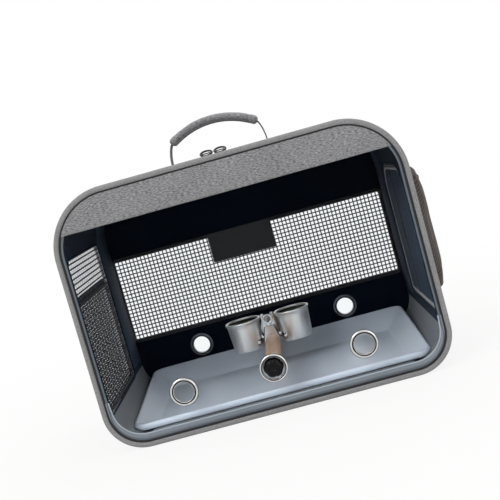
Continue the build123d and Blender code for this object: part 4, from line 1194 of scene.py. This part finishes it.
nets = {
    "x": -203.2, "split": 184.0,      # close rows behind the pocket, wider ones above it; they meet behind the hem
    "low": {"up": 4.07, "cord": 1.9, "cover": 0.8, "radii": (0.5, opening["footRadius"])},
    "high": {"up": 6.07, "cord": 2.1, "cover": 0.7, "radii": (window["radius"], 0.5)},
}
pocket = {
    "low": (-122.9, 45.15), "high": (71.0, 190.5), "radius": 12.0, "face": 207.2, "bulge": 2.4, "footCurve": 26,
    "hemHeight": 12.5, "hemThickness": 1.1, "hemSteps": 90, "ruffle": 0.35,
    "net": {"across": 4.05, "up": 4.17, "cord": 1.85, "cover": 0.95},
}


def addWindowNet(name, low, high, net, *replaced):
    # flat cords between two heights that sag with the window
    middle = (window["front"] + opening["back"]) / 2

    def spot(u, v, w):
        y, z = middle + u / mm, (low + high) / 2 + v / mm
        return nets["x"] * mm + 0.22 * w, y * mm, windowHeight(y, z) * mm

    size = (opening["back"] - window["front"] - 0.4, high - low - 0.4)
    addNet(name, {"across": 5.6, "size": size, **net}, spot, look("carrier", "netCord", "black_mesh", *replaced))


addWindowNet("leftNet", window["foot"], nets["split"], nets["low"], "left_mesh")
addWindowNet("leftTopNet", nets["split"], window["top"], nets["high"])
pocketY, pocketZ = ((a + b) / 2 for a, b in zip(pocket["low"], pocket["high"]))
pocketWide, pocketHigh = (b - a for a, b in zip(pocket["low"], pocket["high"]))


def pocketBulge(y, z):
    # how far the pocket stands off the wall at (y, z), all in mm
    across = abs(y - pocketY) / (pocketWide / 2)
    up = max(0.0, (pocket["low"][1] + pocket["footCurve"] - z) / pocket["footCurve"])
    return pocket["bulge"] * (max(0.0, 1 - min(1, across)**7) ** 0.5 * max(0.0, 1 - min(1, up)**2.5) ** 0.5)


def pocketSpot(u, v, w):
    y, z = pocketY + u / mm, pocketZ + v / mm
    return -(pocket["face"] + pocketBulge(y, z)) * mm + 0.35 * w, y * mm, windowHeight(y, z) * mm


addNet("pocketNet", {**pocket["net"], "size": (pocketWide - 1, pocketHigh - 2), "radii": (0.5, pocket["radius"])},
       pocketSpot, look("carrier", "netCord", "black_mesh", "left_pocket"))
hemPoints, last = [], pocket["hemSteps"]
hemZ = pocket["high"][1] - pocket["hemHeight"] / 2
for i in range(last + 1):
    y = pocket["low"][0] + 0.6 + (pocketWide - 1.2) * i / last
    ruffle = pocket["ruffle"] * math.sin(i * 1.9) * min(1, min(i, last - i) / 8)
    hemPoints.append(at(-(pocket["face"] + 0.2 + pocketBulge(y, hemZ) + ruffle), y, windowHeight(y, hemZ)))
hemRuns = [hemPoints[min(i + 1, last)] - hemPoints[max(i - 1, 0)] for i in range(last + 1)]
hemHalf = pocket["hemThickness"] / 2
pocketHem = addSweep(
    "pocketHem", [(hemPoints, [Vector((-run.y, run.x, 0)).normalized() for run in hemRuns], False)],
    stripSection(-hemHalf, hemHalf, pocket["hemHeight"]), look("carrier", "elastic", "elastic", "pocket_hem"))
(y0, z0), (y1, z1), radius = pocket["low"], pocket["high"], pocket["radius"]
edgeLoop = roundedLoop((y0 + 2, z0 + 2), (y1 - 2, z1 + 8), (radius, radius, 0.5, 0.5), 4.0)
edgeLoop = [p for p in edgeLoop if p[1] < z1 - 2]


def fromGap(points):
    # an open line out of a loop that has one wide gap
    first = max(range(len(points)), key=lambda i: math.dist(points[i], points[i - 1]))
    return points[first:] + points[:first]


edgePath = [at(-pocket["face"], y, windowHeight(y, z)) for y, z in fromGap(edgeLoop)]
addSweep("pocketEdge", [facing(edgePath, (-1, 0, 0), False)], stripSection(-0.2, 0.8, 5),
         look("carrier", "tape", "zip_tape"))
print("left side made")

# front door: piping, clear film, cloth band, eyelets and its side of the zip

door = {
    "filmThickness": 1.0, "wave": 0.45, "waveSize": 90.0, "step": 11.0,    # mm
    "cord": 3.2, "seamIn": -0.7, "seamWidth": 2.6, "rimIn": 2.1, "rimWidth": 2.8,
    "footRimIn": 5.2, "footRimWidth": 4.6, "weltIn": 8.4, "weltRadius": 0.9, "weltEnd": 240.0,
    "slide": 4.5, "slideFrom": 12, "slideOver": 46,        # how the strips along the foot leave it at the corners
    "bandFoot": 265.0, "hem": 6.0,
}
forward = (0, -1, 0)
addSweep("doorPiping", [seamLoop(2 * cordRadius - door["cord"] * mm, frontY)], roundSection(door["cord"]),
         look("front_door", "piping", "piping_fabric", "door_piping"))


def filmSpot(x, z, away):
    ripple = crease(x, 3, z, door["waveSize"], door["wave"]) * fadeIn(away, 30)
    return Vector((x, frontY - door["filmThickness"] / 2 * mm + ripple, z))


doorFilm = clothPanel("doorFilm", flatSeam(), eyeletHoles, door["step"], filmSpot, look(
    "front_door", "film", "window_film", "door_window", thickness=door["filmThickness"]))
end = door["weltEnd"] * mm
for name, inset, y, span, section, finish, slotName in (
        # the dark tape along the seam is partly a real binding and partly painted shade of the seam
        ("doorSeam", door["seamIn"], 0, (), stripSection(0.3, 1.3, door["seamWidth"]), "tape", "zip_tape"),
        ("doorRim", door["rimIn"], 0, (), crownSection(0.3, 1.3, door["rimWidth"]), "filmRim", "window_film"),
        # the foot rim takes the rim finish painted lighter: painted light
        ("doorFootRim", door["footRimIn"], 0, (-end, end), crownSection(0.3, 1.2, door["footRimWidth"]), "litFilmRim",
         "window_film"),
        # the bead's pale colour is partly a painted highlight
        ("doorWelt", door["weltIn"], -0.4, (-end, end), roundSection(door["weltRadius"], 10, 0.6), "filmWelt",
         "window_film")):
    points, _, whole = seamLoop(-inset * mm, frontY + y * mm, 4, *span)
    strip = addSweep(name, [facing(points, forward, whole)], section, look("front_door", finish, slotName))
    if not whole:
        # it runs out under the rim as it climbs the corners
        for v in strip.data.vertices:
            share = min(1.0, max(0.0, (v.co.z - door["slideFrom"] * mm) / (door["slideOver"] * mm)))
            if abs(v.co.x) > mm:
                v.co.x += math.copysign(share * door["slide"] * mm, v.co.x)

foot = door["bandFoot"] * mm
footDrop = foot - seam["top"] + seam["topRadius"]


def edgeAt(grow):
    # half the width of the seam outline at the band's foot
    return seam["half"] - seam["topRadius"] + math.sqrt((seam["topRadius"] + grow)**2 - footDrop**2)


bandFront = frontY - (door["filmThickness"] / 2 + 1.0) * mm
bandEdge, hemEdge = edgeAt(-0.1 * mm), edgeAt(0) - 3.0 * mm
bandLoop = fillIn([(bandEdge, foot)] + [p for p in flatSeam(4) if p[1] > foot] + [(-bandEdge, foot)], 5 * mm)


def bandSpot(x, z, away):
    lift = swell(away, 12, 0.9) + crease(x, 4, z, 30, 0.3) * fadeIn(away, 10)
    return Vector((x, bandFront - lift, z))


doorBand = clothPanel("doorBand", bandLoop, [], 6, bandSpot,
                      look("front_door", "heather", "wrap_fabric", "door_band", thickness=1.0))
hemUp = (door["bandFoot"] + door["hem"] / 2) * mm
hemLine = [Vector((x, bandFront, hemUp + crease(x, 5, 0, 60, 0.4))) for x in np.linspace(-hemEdge, hemEdge, 81)]
addSweep("bandHem", [facing(hemLine, forward, False)], stripSection(-0.8, 0.7, door["hem"], 0.6),
         look("front_door", "heather", "wrap_fabric"))
addRow("bandStitches", [facing([p + at(0, -0.75, 1.6) for p in hemLine], forward, False)], (4.0, 2.8, 0.6, 0.4),
       look("front_door", "thread", "wrap_fabric"))
filmHalf = door["filmThickness"] / 2
addEyelets("doorEyelets", frontY / mm - filmHalf, frontY / mm + filmHalf,
           look("front_door", "nickel", "eyelet_metal", "door_grommets"))

zips = {
    "foot": 48.8, "tapeOut": 3.0, "tapeThickness": 1.5, "chainOut": 2.5, "lean": 14,
    "doorTape": (-132.0, -126.5), "doorTeeth": -125.5, "wrapTeeth": -123.1, "wrapTape": (-122.1, -118.5),
    "hinge": (-131.7, -118.5), "hingeTop": 48.0,
}
zipStart, hingeSpan = (lengthAtHeight(zips[key] * mm) for key in ("foot", "hingeTop"))
zipSpan = (zipStart, loopLength - zipStart)
for name, (low, high), span, body, finish, node in (
        ("doorZipTape", zips["doorTape"], zipSpan, "front_door", "tape", "door_zip_strip"),
        ("wrapZipTape", zips["wrapTape"], zipSpan, "carrier", "tape", "front_zip_tape"),
        ("doorHingeCloth", zips["hinge"], (-hingeSpan, hingeSpan), "carrier", "heather", "door_hinge_strip")):
    addSweep(name, [seamLoop(0, (low + high) / 2 * mm, 4, *span)],
             stripSection(zips["tapeOut"] - zips["tapeThickness"], zips["tapeOut"], high - low, 0.4),
             look(body, finish, "zip_tape", node))
for name, y, lean, body, node in (
        ("doorZipTeeth", zips["doorTeeth"], zips["lean"], "front_door", "door_zip_chain"),
        ("wrapZipTeeth", zips["wrapTeeth"], -zips["lean"], "carrier", "front_zip_chain")):
    addRow(name, [seamLoop(zips["chainOut"] * mm, y * mm, 4, *zipSpan)], teeth["front"],
           look(body, "coil", "zip_chain", node), lean)
print("front door made")

# right side door with its pocket

sideDoor = {
    "inset": 3.0, "face": 206.6, "inside": 203.6, "outerThickness": 1.6, "innerThickness": 1.2, "swell": 0.7,
    "fixedInset": 0.7, "movingInset": 2.3, "tapeInset": 1.55, "chainX": 205.1, "lean": 12,
    "bindingIn": 1.9, "strapY": 5.0, "strapUp": (68, 234), "strapIn": 0.5,
}
panelLoop = archLoop(sideDoor["inset"], 4.0)


def outerSpot(y, z, away):
    return Vector((sideDoor["face"] * mm + crease(0, y, z, 40, 0.25), y, z))


def innerSpot(y, z, away):
    ripple = 0.5 + 0.5 * noise.noise(Vector((7, y, z)) / (45 * mm))
    return Vector((sideDoor["inside"] * mm - swell(away, 20, sideDoor["swell"]) * ripple, y, z))


sideCloth = clothPanel("sideDoorCloth", panelLoop, [], 7, outerSpot, look(
    "side_door", "heather", "wrap_fabric", "side_door_panel", thickness=sideDoor["outerThickness"]))
# the side door's lining takes the navy painted lighter: painted light
sideLining = clothPanel("sideDoorLining", panelLoop, [], 7, innerSpot, look(
    "side_door", "lighterNavy", "navy_lining", thickness=sideDoor["innerThickness"], flip=True))
binding = [Vector((sideDoor["inside"] * mm, y, z)) for y, z in growLoop(panelLoop, -sideDoor["bindingIn"] * mm)]
addSweep("sideDoorBinding", [facing(binding, (-1, 0, 0))], stripSection(-0.3, 0.9, 3.2, 0.5),
         look("side_door", "piping", "piping_fabric"))
strapX = sideDoor["inside"] - sideDoor["strapIn"]
strapLine = [at(strapX, sideDoor["strapY"], z) for z in np.linspace(*sideDoor["strapUp"], 40)]
addSweep("sideDoorSeamTape", [facing(strapLine, (-1, 0, 0), False)], stripSection(-0.4, 0.7, 4.5),
         look("side_door", "tape", "webbing"))


def zipPath(inset):
    # the arch of the side zip from foot to foot over the top
    foot = (opening["foot"] + opening["footRadius"]) * mm
    return fromGap([p for p in archLoop(inset, 2.0) if p[1] >= foot - 1e-6])


def sideRow(line):
    return facing([Vector((sideDoor["chainX"] * mm, y, z)) for y, z in line], (1, 0, 0), False)


fixedLine = zipPath(sideDoor["fixedInset"])
tailFoot = (opening["slotFoot"] + 0.8) * mm
frontTail, backTail = sorted((fixedLine[0], fixedLine[-1]))
tails = [[(y, tailFoot), (y, z - 1.5 * mm)] for y, z in (backTail, frontTail)]
tails += [[(y + shift * mm, tailFoot), (y + shift * mm, (opening["foot"] - 0.8) * mm)]
          for (y, z), shift in ((backTail, -1.6), (frontTail, 1.6))]
tapeLine = zipPath(sideDoor["tapeInset"])
tapeEnds = [(tapeLine[k][0], (opening["slotFoot"] + 1) * mm) for k in (0, -1)]     # down behind both slots
addSweep("sideZipTape", [sideRow([tapeEnds[0]] + tapeLine + [tapeEnds[1]])], stripSection(-1.9, -1.3, 2.7),
         look("carrier", "tape", "zip_tape"))
addRow("sideZipTeeth", [sideRow(line) for line in [fixedLine] + tails], teeth["side"],
       look("carrier", "paleCoil", "zip_chain", "side_zip_chain"), sideDoor["lean"])
addRow("sideDoorTeeth", [sideRow(zipPath(sideDoor["movingInset"]))], teeth["side"],
       look("side_door", "paleCoil", "zip_chain", "side_door_chain"), -sideDoor["lean"])
low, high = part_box("side_hinge_strip")
hingeRun = [Vector(((low.x + high.x) / 2, y, (low.z + high.z) / 2)) for y in np.linspace(low.y, high.y, 30)]
addSweep("sideHingeCloth", [facing(hingeRun, (1, 0, 0), False)], stripSection(-0.7, 0.7, (high.z - low.z) / mm, 0.4),
         look("carrier", "heather", "zip_tape", "side_hinge_strip"))

sidePocket = {
    "low": (-92.0, 78.0), "high": (55.0, 237.0), "radius": 24.0, "face": 206.6,
    "rings": ((0, 0.2), (0, 3), (0.4, 7), (1.4, 11.78), (3.6, 16.15), (7, 19)),    # how far in and out
    "voxel": 4.0, "pressure": 4.0, "steps": 20, "sewnUpTo": 2.5, "cap": 3.0, "outMost": 229.5, "slack": 0.6,
    "zipUp": 218.0, "zipHalf": 56.0,
}


def coordinates(obj):
    return np.array([v.co for v in obj.data.vertices])


def inflate(bag):
    # a short cloth simulation swells the bag; its flat side is sewn to the door
    p, rest = sidePocket, coordinates(bag)
    scene.frame_set(1)
    sewn = bag.vertex_groups.new(name="sewn")
    sewn.add([i for i, v in enumerate(rest) if v[0] < (p["face"] + p["sewnUpTo"]) * mm], 1.0, "REPLACE")
    cloth = bag.modifiers.new("cloth", "CLOTH").settings
    cloth.use_pressure = True
    cloth.uniform_pressure_force = p["pressure"]
    cloth.effector_weights.gravity = 0
    cloth.vertex_group_mass = "sewn"
    cloth.quality = 5
    for step in range(1, p["steps"] + 1):
        scene.frame_set(step)
    bakeMesh(bag)
    scene.frame_set(1)
    moved = coordinates(bag) - rest
    length = np.linalg.norm(moved, axis=1, keepdims=True)
    moved *= np.minimum(1, p["cap"] * mm / np.maximum(length, 1e-9))
    bag.data.vertices.foreach_set("co", (rest + moved).ravel())


def addSidePocket():
    p, rings = sidePocket, []
    middle = [(a + b) / 2 for a, b in zip(p["low"], p["high"])]
    half = [(b - a) / 2 for a, b in zip(p["low"], p["high"])]
    for inset, out in p["rings"]:
        scales = [1 - inset / half[k] for k in (0, 1)]
        rings.append([at(p["face"] + out, *(middle[k] + (point[k] - middle[k]) * scales[k] for k in (0, 1)))
                      for point in roundedLoop(p["low"], p["high"], p["radius"], 5.0)])
    bag = addLoft("sidePocketBag", rings, look("side_door", "twill", "pocket_fabric", "side_pocket"))
    remesh = bag.modifiers.new("even", "REMESH")
    remesh.mode, remesh.voxel_size = "VOXEL", p["voxel"] * mm
    bakeMesh(bag)
    inflate(bag)
    co, slack = coordinates(bag), p["slack"]
    limits = ((p["face"] + 0.1, p["outMost"]), *((a - slack, b + slack) for a, b in zip(p["low"], p["high"])))
    for k, (least, most) in enumerate(limits):
        co[:, k] = np.clip(co[:, k], least * mm, most * mm)
    bag.data.vertices.foreach_set("co", co.ravel())
    bag.data.update()
    giveUvs(bag.data, co[:, 1:])
    bag.data.shade_smooth()
    finer = bag.modifiers.new("finer", "SUBSURF")
    finer.levels = finer.render_levels = 1
    return bag


bag = addSidePocket()
bagSurface = BVHTree.FromObject(bag, bpy.context.evaluated_depsgraph_get())
bagMiddle = (sidePocket["low"][0] + sidePocket["high"][0]) / 2
tapeRun = []
for t in np.linspace(-1, 1, 40):
    outside = at(300, bagMiddle + t * sidePocket["zipHalf"], sidePocket["zipUp"])
    tapeRun.append(bagSurface.ray_cast(outside, Vector((-1, 0, 0)))[0] + at(0.4, 0, 0))
addSweep("pocketZipTape", [facing(tapeRun, (1, 0, 0), False)], stripSection(-1.2, 0.1, 6, 0.4),
         look("side_door", "tape", "zip_tape", "side_pocket_zip"))
addRow("pocketZipTeeth", [facing([p + at(0.1, 0, shift) for p in tapeRun], (1, 0, 0), False) for shift in (-0.8, 0.8)],
       teeth["pocket"], look("side_door", "coil", "zip_chain"), 10)
print("side door made")

# handle: a wrapped grip on one length of webbing, sewn down on two patches

handle = {
    "halfSpan": 57.0, "endUp": 338.5, "rise": 17.7, "thick": 11.0, "wide": 30.0, "sleeve": 0.95, "padding": 0.3,
    "wrapLength": 10.0, "roundFrom": 0.93, "gather": 0.8, "seamEnd": 0.84,
    "foot": 308.5, "strapSpread": 63.0, "strapEnd": 0.97, "webbing": (17.0, 1.7), "strapSteps": 16,
    "patch": {"spread": 65.5, "size": (30.0, 34.0), "foot": 307.0, "thick": 1.5},
}
gripRadius = (handle["halfSpan"]**2 + handle["rise"]**2) / (2 * handle["rise"])
gripLean = math.asin(handle["halfSpan"] / gripRadius)
gripMiddle = handle["endUp"] + handle["rise"] - gripRadius


def gripSpot(t, out=0.0):
    # t from -1 to 1 along the grip
    up = Vector((math.sin(gripLean * t), 0, math.cos(gripLean * t)))
    return Vector((0, 0, gripMiddle * mm)) + up * (gripRadius + out) * mm, up


def gripPath(low, high, count, out=0.0, sign=1):
    spots = [gripSpot(t, out) for t in np.linspace(low, high, count)]
    return [p for p, up in spots], [sign * up for p, up in spots], False


def ovalSection(high, wide, power=2.6, count=28):
    section = []
    for k in range(count):
        c, s = math.cos(-2 * math.pi * k / count), math.sin(-2 * math.pi * k / count)
        section.append((math.copysign(abs(c)**(2 / power), c) * high / 2,
                        math.copysign(abs(s)**(2 / power), s) * wide / 2))
    return section


def addGrip():
    thick, wide, extra = handle["thick"], handle["wide"], handle["padding"]
    sleeve = addSweep(
        "gripSleeve", [gripPath(-handle["sleeve"], handle["sleeve"], 61)],
        ovalSection(thick - 2 * extra, wide - 2 * extra),
        look("handle", "heather", "handle_fabric", "handle_grip", "handle_webbing"))
    for v in sleeve.data.vertices:
        v.co += v.normal * crease(*v.co, 16, 0.35)
    share = 1.0 - handle["wrapLength"] / (gripRadius * gripLean)
    for name, low, high in (("gripWrapLeft", -0.999, -share), ("gripWrapRight", share, 0.999)):
        end = addSweep(name, [gripPath(low, high, 9)], ovalSection(thick + extra, wide + extra),
                       look("handle", "heather", "handle_fabric"))
        for v in end.data.vertices:
            # the end is gathered and rounds off
            t = abs(math.atan2(v.co.x, v.co.z - gripMiddle * mm) / gripLean)
            middle, up = gripSpot(math.copysign(t, v.co.x))
            close = min(1, max(0, t - handle["roundFrom"]) / (1 - handle["roundFrom"]))
            v.co += (middle - v.co) * (1 - math.sqrt(max(0, 1 - handle["gather"] * close * close)))
    seamEnd = handle["seamEnd"]
    addSweep("gripSeam", [gripPath(-seamEnd, seamEnd, 40, -thick / 2 + 0.2, -1)], stripSection(-0.3, 0.5, 3),
             look("handle", "tape", "zip_tape"))


def addStraps():
    # the webbing from each patch to the grip, as one mesh
    shapes, last = [], handle["strapSteps"]
    for side in (-1, 1):
        foot = at(side * handle["strapSpread"], 0, handle["foot"] + 0.05)
        end, up = gripSpot(side * handle["strapEnd"])
        a = foot + at(side * 0.8, 0, 12)
        b = end + Vector((up.z * side, 0, -up.x * side)).normalized() * 5 * mm
        points = []
        for t in (i / last for i in range(last + 1)):
            points.append(foot * (1 - t)**3 + a * 3 * t * (1 - t)**2 + b * 3 * t * t * (1 - t) + end * t**3)
        steps = [points[min(i + 1, last)] - points[max(i - 1, 0)] for i in range(last + 1)]
        ups = [Vector((run.z * side, 0, -run.x * side)).normalized() for run in steps]
        width, thick = handle["webbing"]
        shapes.append(sweepSection(points, ups, False, stripSection(-thick / 2, thick / 2, width, 0.5)))
    straps = workMesh(makeObject("handleStraps", merged(shapes), "webbing"), 0.01, outwards=True)
    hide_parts("handle_straps")
    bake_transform(straps)


def addPatches():
    patch, rows = handle["patch"], []
    (long, wide), low, thick = patch["size"], patch["foot"], patch["thick"]
    for name, x, replaced in (("patchLeft", -patch["spread"], ("handle_patches",)),
                              ("patchRight", patch["spread"], ())):

        def outline(inset, z, radius, step):
            corners = (x - long / 2 + inset, -wide / 2 + inset), (x + long / 2 - inset, wide / 2 - inset)
            return [at(px, py, z) for px, py in roundedLoop(*corners, radius, step)]

        loops = [outline(inset, z, 1.6, 3.0) for inset, z in ((0, low), (0, low + thick * 0.6), (0.5, low + thick))]
        addLoft(name, loops, look("carrier", "webbing", "webbing", *replaced))
        rows.append(facing(outline(3, low + thick + 0.1, 0.5, 2.0), (0, 0, 1)))
    addRow("patchStitches", rows, (3.4, 2.5, 0.6, 0.4), look("carrier", "thread", "webbing"))


addGrip()
addStraps()
addPatches()
print("handle made")

# cups, tray and hard fittings

cups = {
    "across": 33.5, "deep": 31.0, "foot": 47.6, "height": 39.4, "footRadius": 20.2, "topRadius": 22.6,
    "wall": 0.8, "rim": 1.5,
}


def cupProfile():
    # the outside from the middle of the foot up, round the rolled rim and down the inside
    top, foot, height, wall, rim = (cups[key] for key in ("topRadius", "footRadius", "height", "wall", "rim"))
    slope = (top - foot) / height
    outside = [(0, 0.9), (foot - 6.2, 0.9), (foot - 5.2, 0.05), (foot - 3.0, 0.0)]
    outside += [(foot - 2.4 + 2.3 * math.cos(a), 2.4 + 2.4 * math.sin(a))
                for a in (math.radians(-90 + 80 * i / 6) for i in range(7))]
    outside += [(foot + slope * h, h) for h in (8, 16, 24, 32, 36)]
    roll = [(top + rim * math.cos(a), height + rim * math.sin(a)) for a in np.radians(range(-70, 176, 35))]
    inside = [(top - wall - 0.35, height - 1.2)] + [(foot + slope * h - wall, h) for h in (34, 24, 16, 8)]
    return outside + roll + inside + [(foot - 1.9, 4.0), (foot - 3.4, 2.3), (foot - 6.5, 1.75), (0, 1.75)]


def insideCup(face):
    if not (cups["foot"] + 1.2) * mm <= face.center.z <= (cups["foot"] + cups["height"] - 1.4) * mm:
        return False
    x = math.copysign(cups["across"] * mm, face.center.x)
    out = Vector((face.center.x - x, face.center.y - cups["deep"] * mm, 0))
    return face.normal.z > 0.5 or face.normal.dot(out) < 0


for name, side in (("left", -1), ("right", 1)):
    origin = at(side * cups["across"], cups["deep"], cups["foot"])
    cup = addTurned(f"{name}Cup", [(cupProfile(), origin, (0, 0, 1))],
                    look(f"{name}_cup", "steel", "cup_steel", f"cup_{name}"), 72)
    # the insides of the cups take the darker steel
    paintFaces(cup, "dullSteel", insideCup)
dressNodes("chrome", "perch_saddle", "hanger_left", "hanger_right", "hanger_rivets", "clamp_screw", "cup_left_hook",
           "cup_right_hook", "cup_left_rivets", "cup_right_rivets", "perch_washer")
dressNodes("beech", "perch_dowel")
dressNodes("abs", "perch_rear_knob")
dressNodes("zinc", "zip_slider_left", "zip_slider_right", "side_zip_slider", "side_zip_pull")

knob = {
    "lobes": 6, "up": 53.0, "steps": 72, "shape": (        # depth, radius and lobe height, from the perch to the face
        (-111.0, 7.6, 0), (-112.2, 8.4, 0), (-116, 9.4, 0), (-120, 10.8, 0.3), (-124, 11.6, 0.5), (-131, 11.7, 0.5),
        (-134.6, 11.4, 0.5), (-137.2, 10.2, 0.6), (-138.9, 7.9, 0.5), (-139.7, 5.2, 0.2), (-139.9, 4.0, 0),
        (-139.5, 3.3, 0), (-138.7, 2.8, 0), (-138.5, 1.0, 0)),
}
knobRings = []
for y, radius, lobe in knob["shape"]:
    loop = []
    for a in (2 * math.pi * i / knob["steps"] for i in range(knob["steps"])):
        r = (radius - lobe + 2 * lobe * abs(math.cos(a * knob["lobes"] / 2)) ** 0.8) * mm
        loop.append(Vector((r * math.cos(a), y * mm, knob["up"] * mm + r * math.sin(a))))
    knobRings.append(loop)
addLoft("frontKnob", knobRings, look("front_knob", "abs", "knob_plastic", "perch_front_knob"))

saddle = {
    "front": 12.0, "thickness": 1.2, "foot": (11.2, 54.0), "shoulder": (11.2, 57.0), "head": (7.0, 75.6),
    "dowel": (10.2, 53),                                   # radius and height of the cut-out
}
half = [saddle[key] for key in ("foot", "shoulder", "head")]
web = half + [(-x, z) for x, z in reversed(half)]
radius, middle = saddle["dowel"]
web += [(radius * math.cos(a), middle + radius * math.sin(a)) for a in np.radians(np.linspace(174, 6, 15))]
count = len(web)
faces = [tuple(range(count)), tuple(reversed(range(count, 2 * count)))]
faces += [(k, k + count, (k + 1) % count + count, (k + 1) % count) for k in range(count)]
verts = [at(x, y, z) for y in (saddle["front"], saddle["front"] + saddle["thickness"]) for x, z in web]
saddleWeb = addPiece("saddleWeb", (verts, faces, None), look("carrier", "chrome", "fitting_steel"))
sharpen(workMesh(saddleWeb, 0.01, outwards=True))

pullRing = {"half": 6.8, "reach": 5.0, "middle": 4.4, "tilt": 34, "wire": 1.15, "hinge": (-124.3, 310.4), "steps": 40}
tilt = math.radians(pullRing["tilt"])
hingeY, hingeZ = pullRing["hinge"]
for name in ("left", "right"):
    # a wire ring threaded through the slider's bridge, leaning back from its hinge
    low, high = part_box(f"zip_pull_{name}")
    loop = []
    for a in np.radians(np.linspace(0, 360, pullRing["steps"], endpoint=False)):
        along = (pullRing["middle"] + pullRing["reach"] * math.sin(a)) * mm
        loop.append(Vector(((low.x + high.x) / 2 + pullRing["half"] * mm * math.cos(a),
                            hingeY * mm + along * math.cos(tilt), hingeZ * mm + along * math.sin(tilt))))
    addSweep(f"{name}PullRing", [facing(loop, (0, -math.sin(tilt), math.cos(tilt)))],
             roundSection(pullRing["wire"], 10), look(f"{name}_pull", "zinc", "zip_metal", f"zip_pull_{name}"))

tray = {
    "foot": 11.1, "wall": 1.6, "lip": 4.0, "frontUp": 18.0, "backUp": 34.0, "clear": 1.5,
    "base": (160.0, -88.0, 88.0, 10.0), "rim": (183.0, -101.0, 123.0, 13.0),   # half width, front, back, radius
}


def liningUp(x):
    # height of the lining under the tray; it curves up at both sides
    over = max(0.0, abs(x) - (seam["half"] - seam["bottomRadius"]))
    return seam["base"] + seam["bottomRadius"] - math.sqrt(max(0.0, seam["bottomRadius"]**2 - over**2))


def trayRing(out, up, share):
    # a rounded rectangle between the base (share 0) and the tilted rim (share 1), moved out and up
    half, front, rear, radius = (a + (b - a) * share for a, b in zip(tray["base"], tray["rim"]))
    half, front, rear, radius = half + out, front - out, rear + out, radius + out
    corners = ((-half + radius, front + radius, 180), (half - radius, front + radius, 270),
               (half - radius, rear - radius, 0), (-half + radius, rear - radius, 90))
    arcs = [[(x + radius * math.cos(a), y + radius * math.sin(a))
             for a in (math.radians(angle + 90 * i / 8) for i in range(9))] for x, y, angle in corners]
    points = []
    for arc, following in zip(arcs, arcs[1:] + arcs[:1]):
        (x, y), (endX, endY) = arc[-1], following[0]
        points += arc + [(x + (endX - x) * i / 16, y + (endY - y) * i / 16) for i in range(1, 16)]
    _, rimFront, rimRear, _ = tray["rim"]
    loop = []
    for x, y in points:
        rimUp = tray["frontUp"] + (tray["backUp"] - tray["frontUp"]) * (y - rimFront) / (rimRear - rimFront)
        z = (tray["foot"] + (rimUp - tray["foot"]) * share + up) * mm
        loop.append(Vector((x * mm, y * mm, max(z, liningUp(x * mm) + tray["clear"] * mm))))
    return loop


w = tray["wall"]
# how far out, how far up and the share of the way to the rim: under the base, up the outside, round the rolled
# lip, down the inside and over the floor
levels = ((-6, 0.0, 0), (-2.4, 0.0, 0), (-0.7, 0.35, 0), (0, 1.4, 0.05), (0, 0, 0.3), (0, 0, 0.65), (0, -0.6, 0.93),
          (0.9, -0.2, 1), (1.7, -1.0, 1), (2.6, -5.0, 1), (3.4, -5.6, 1), (tray["lip"], -5.0, 1), (3.5, -1.2, 1),
          (2.6, 0.8, 1), (1.4, w, 1), (-0.4, w, 1), (-1.6, w - 0.9, 1), (-w - 0.1, w, 0.7), (-w, w, 0.35),
          (-w, w + 1.6, 0.04), (-w - 1.0, w + 0.4, 0), (-w - 2.6, w, 0), (-w - 8, w, 0))
addLoft("droppingsTray", [trayRing(*level) for level in levels],
        look("tray", "polypropylene", "tray_plastic", "tray"))
print("cups, tray and fittings made")

print("finished")
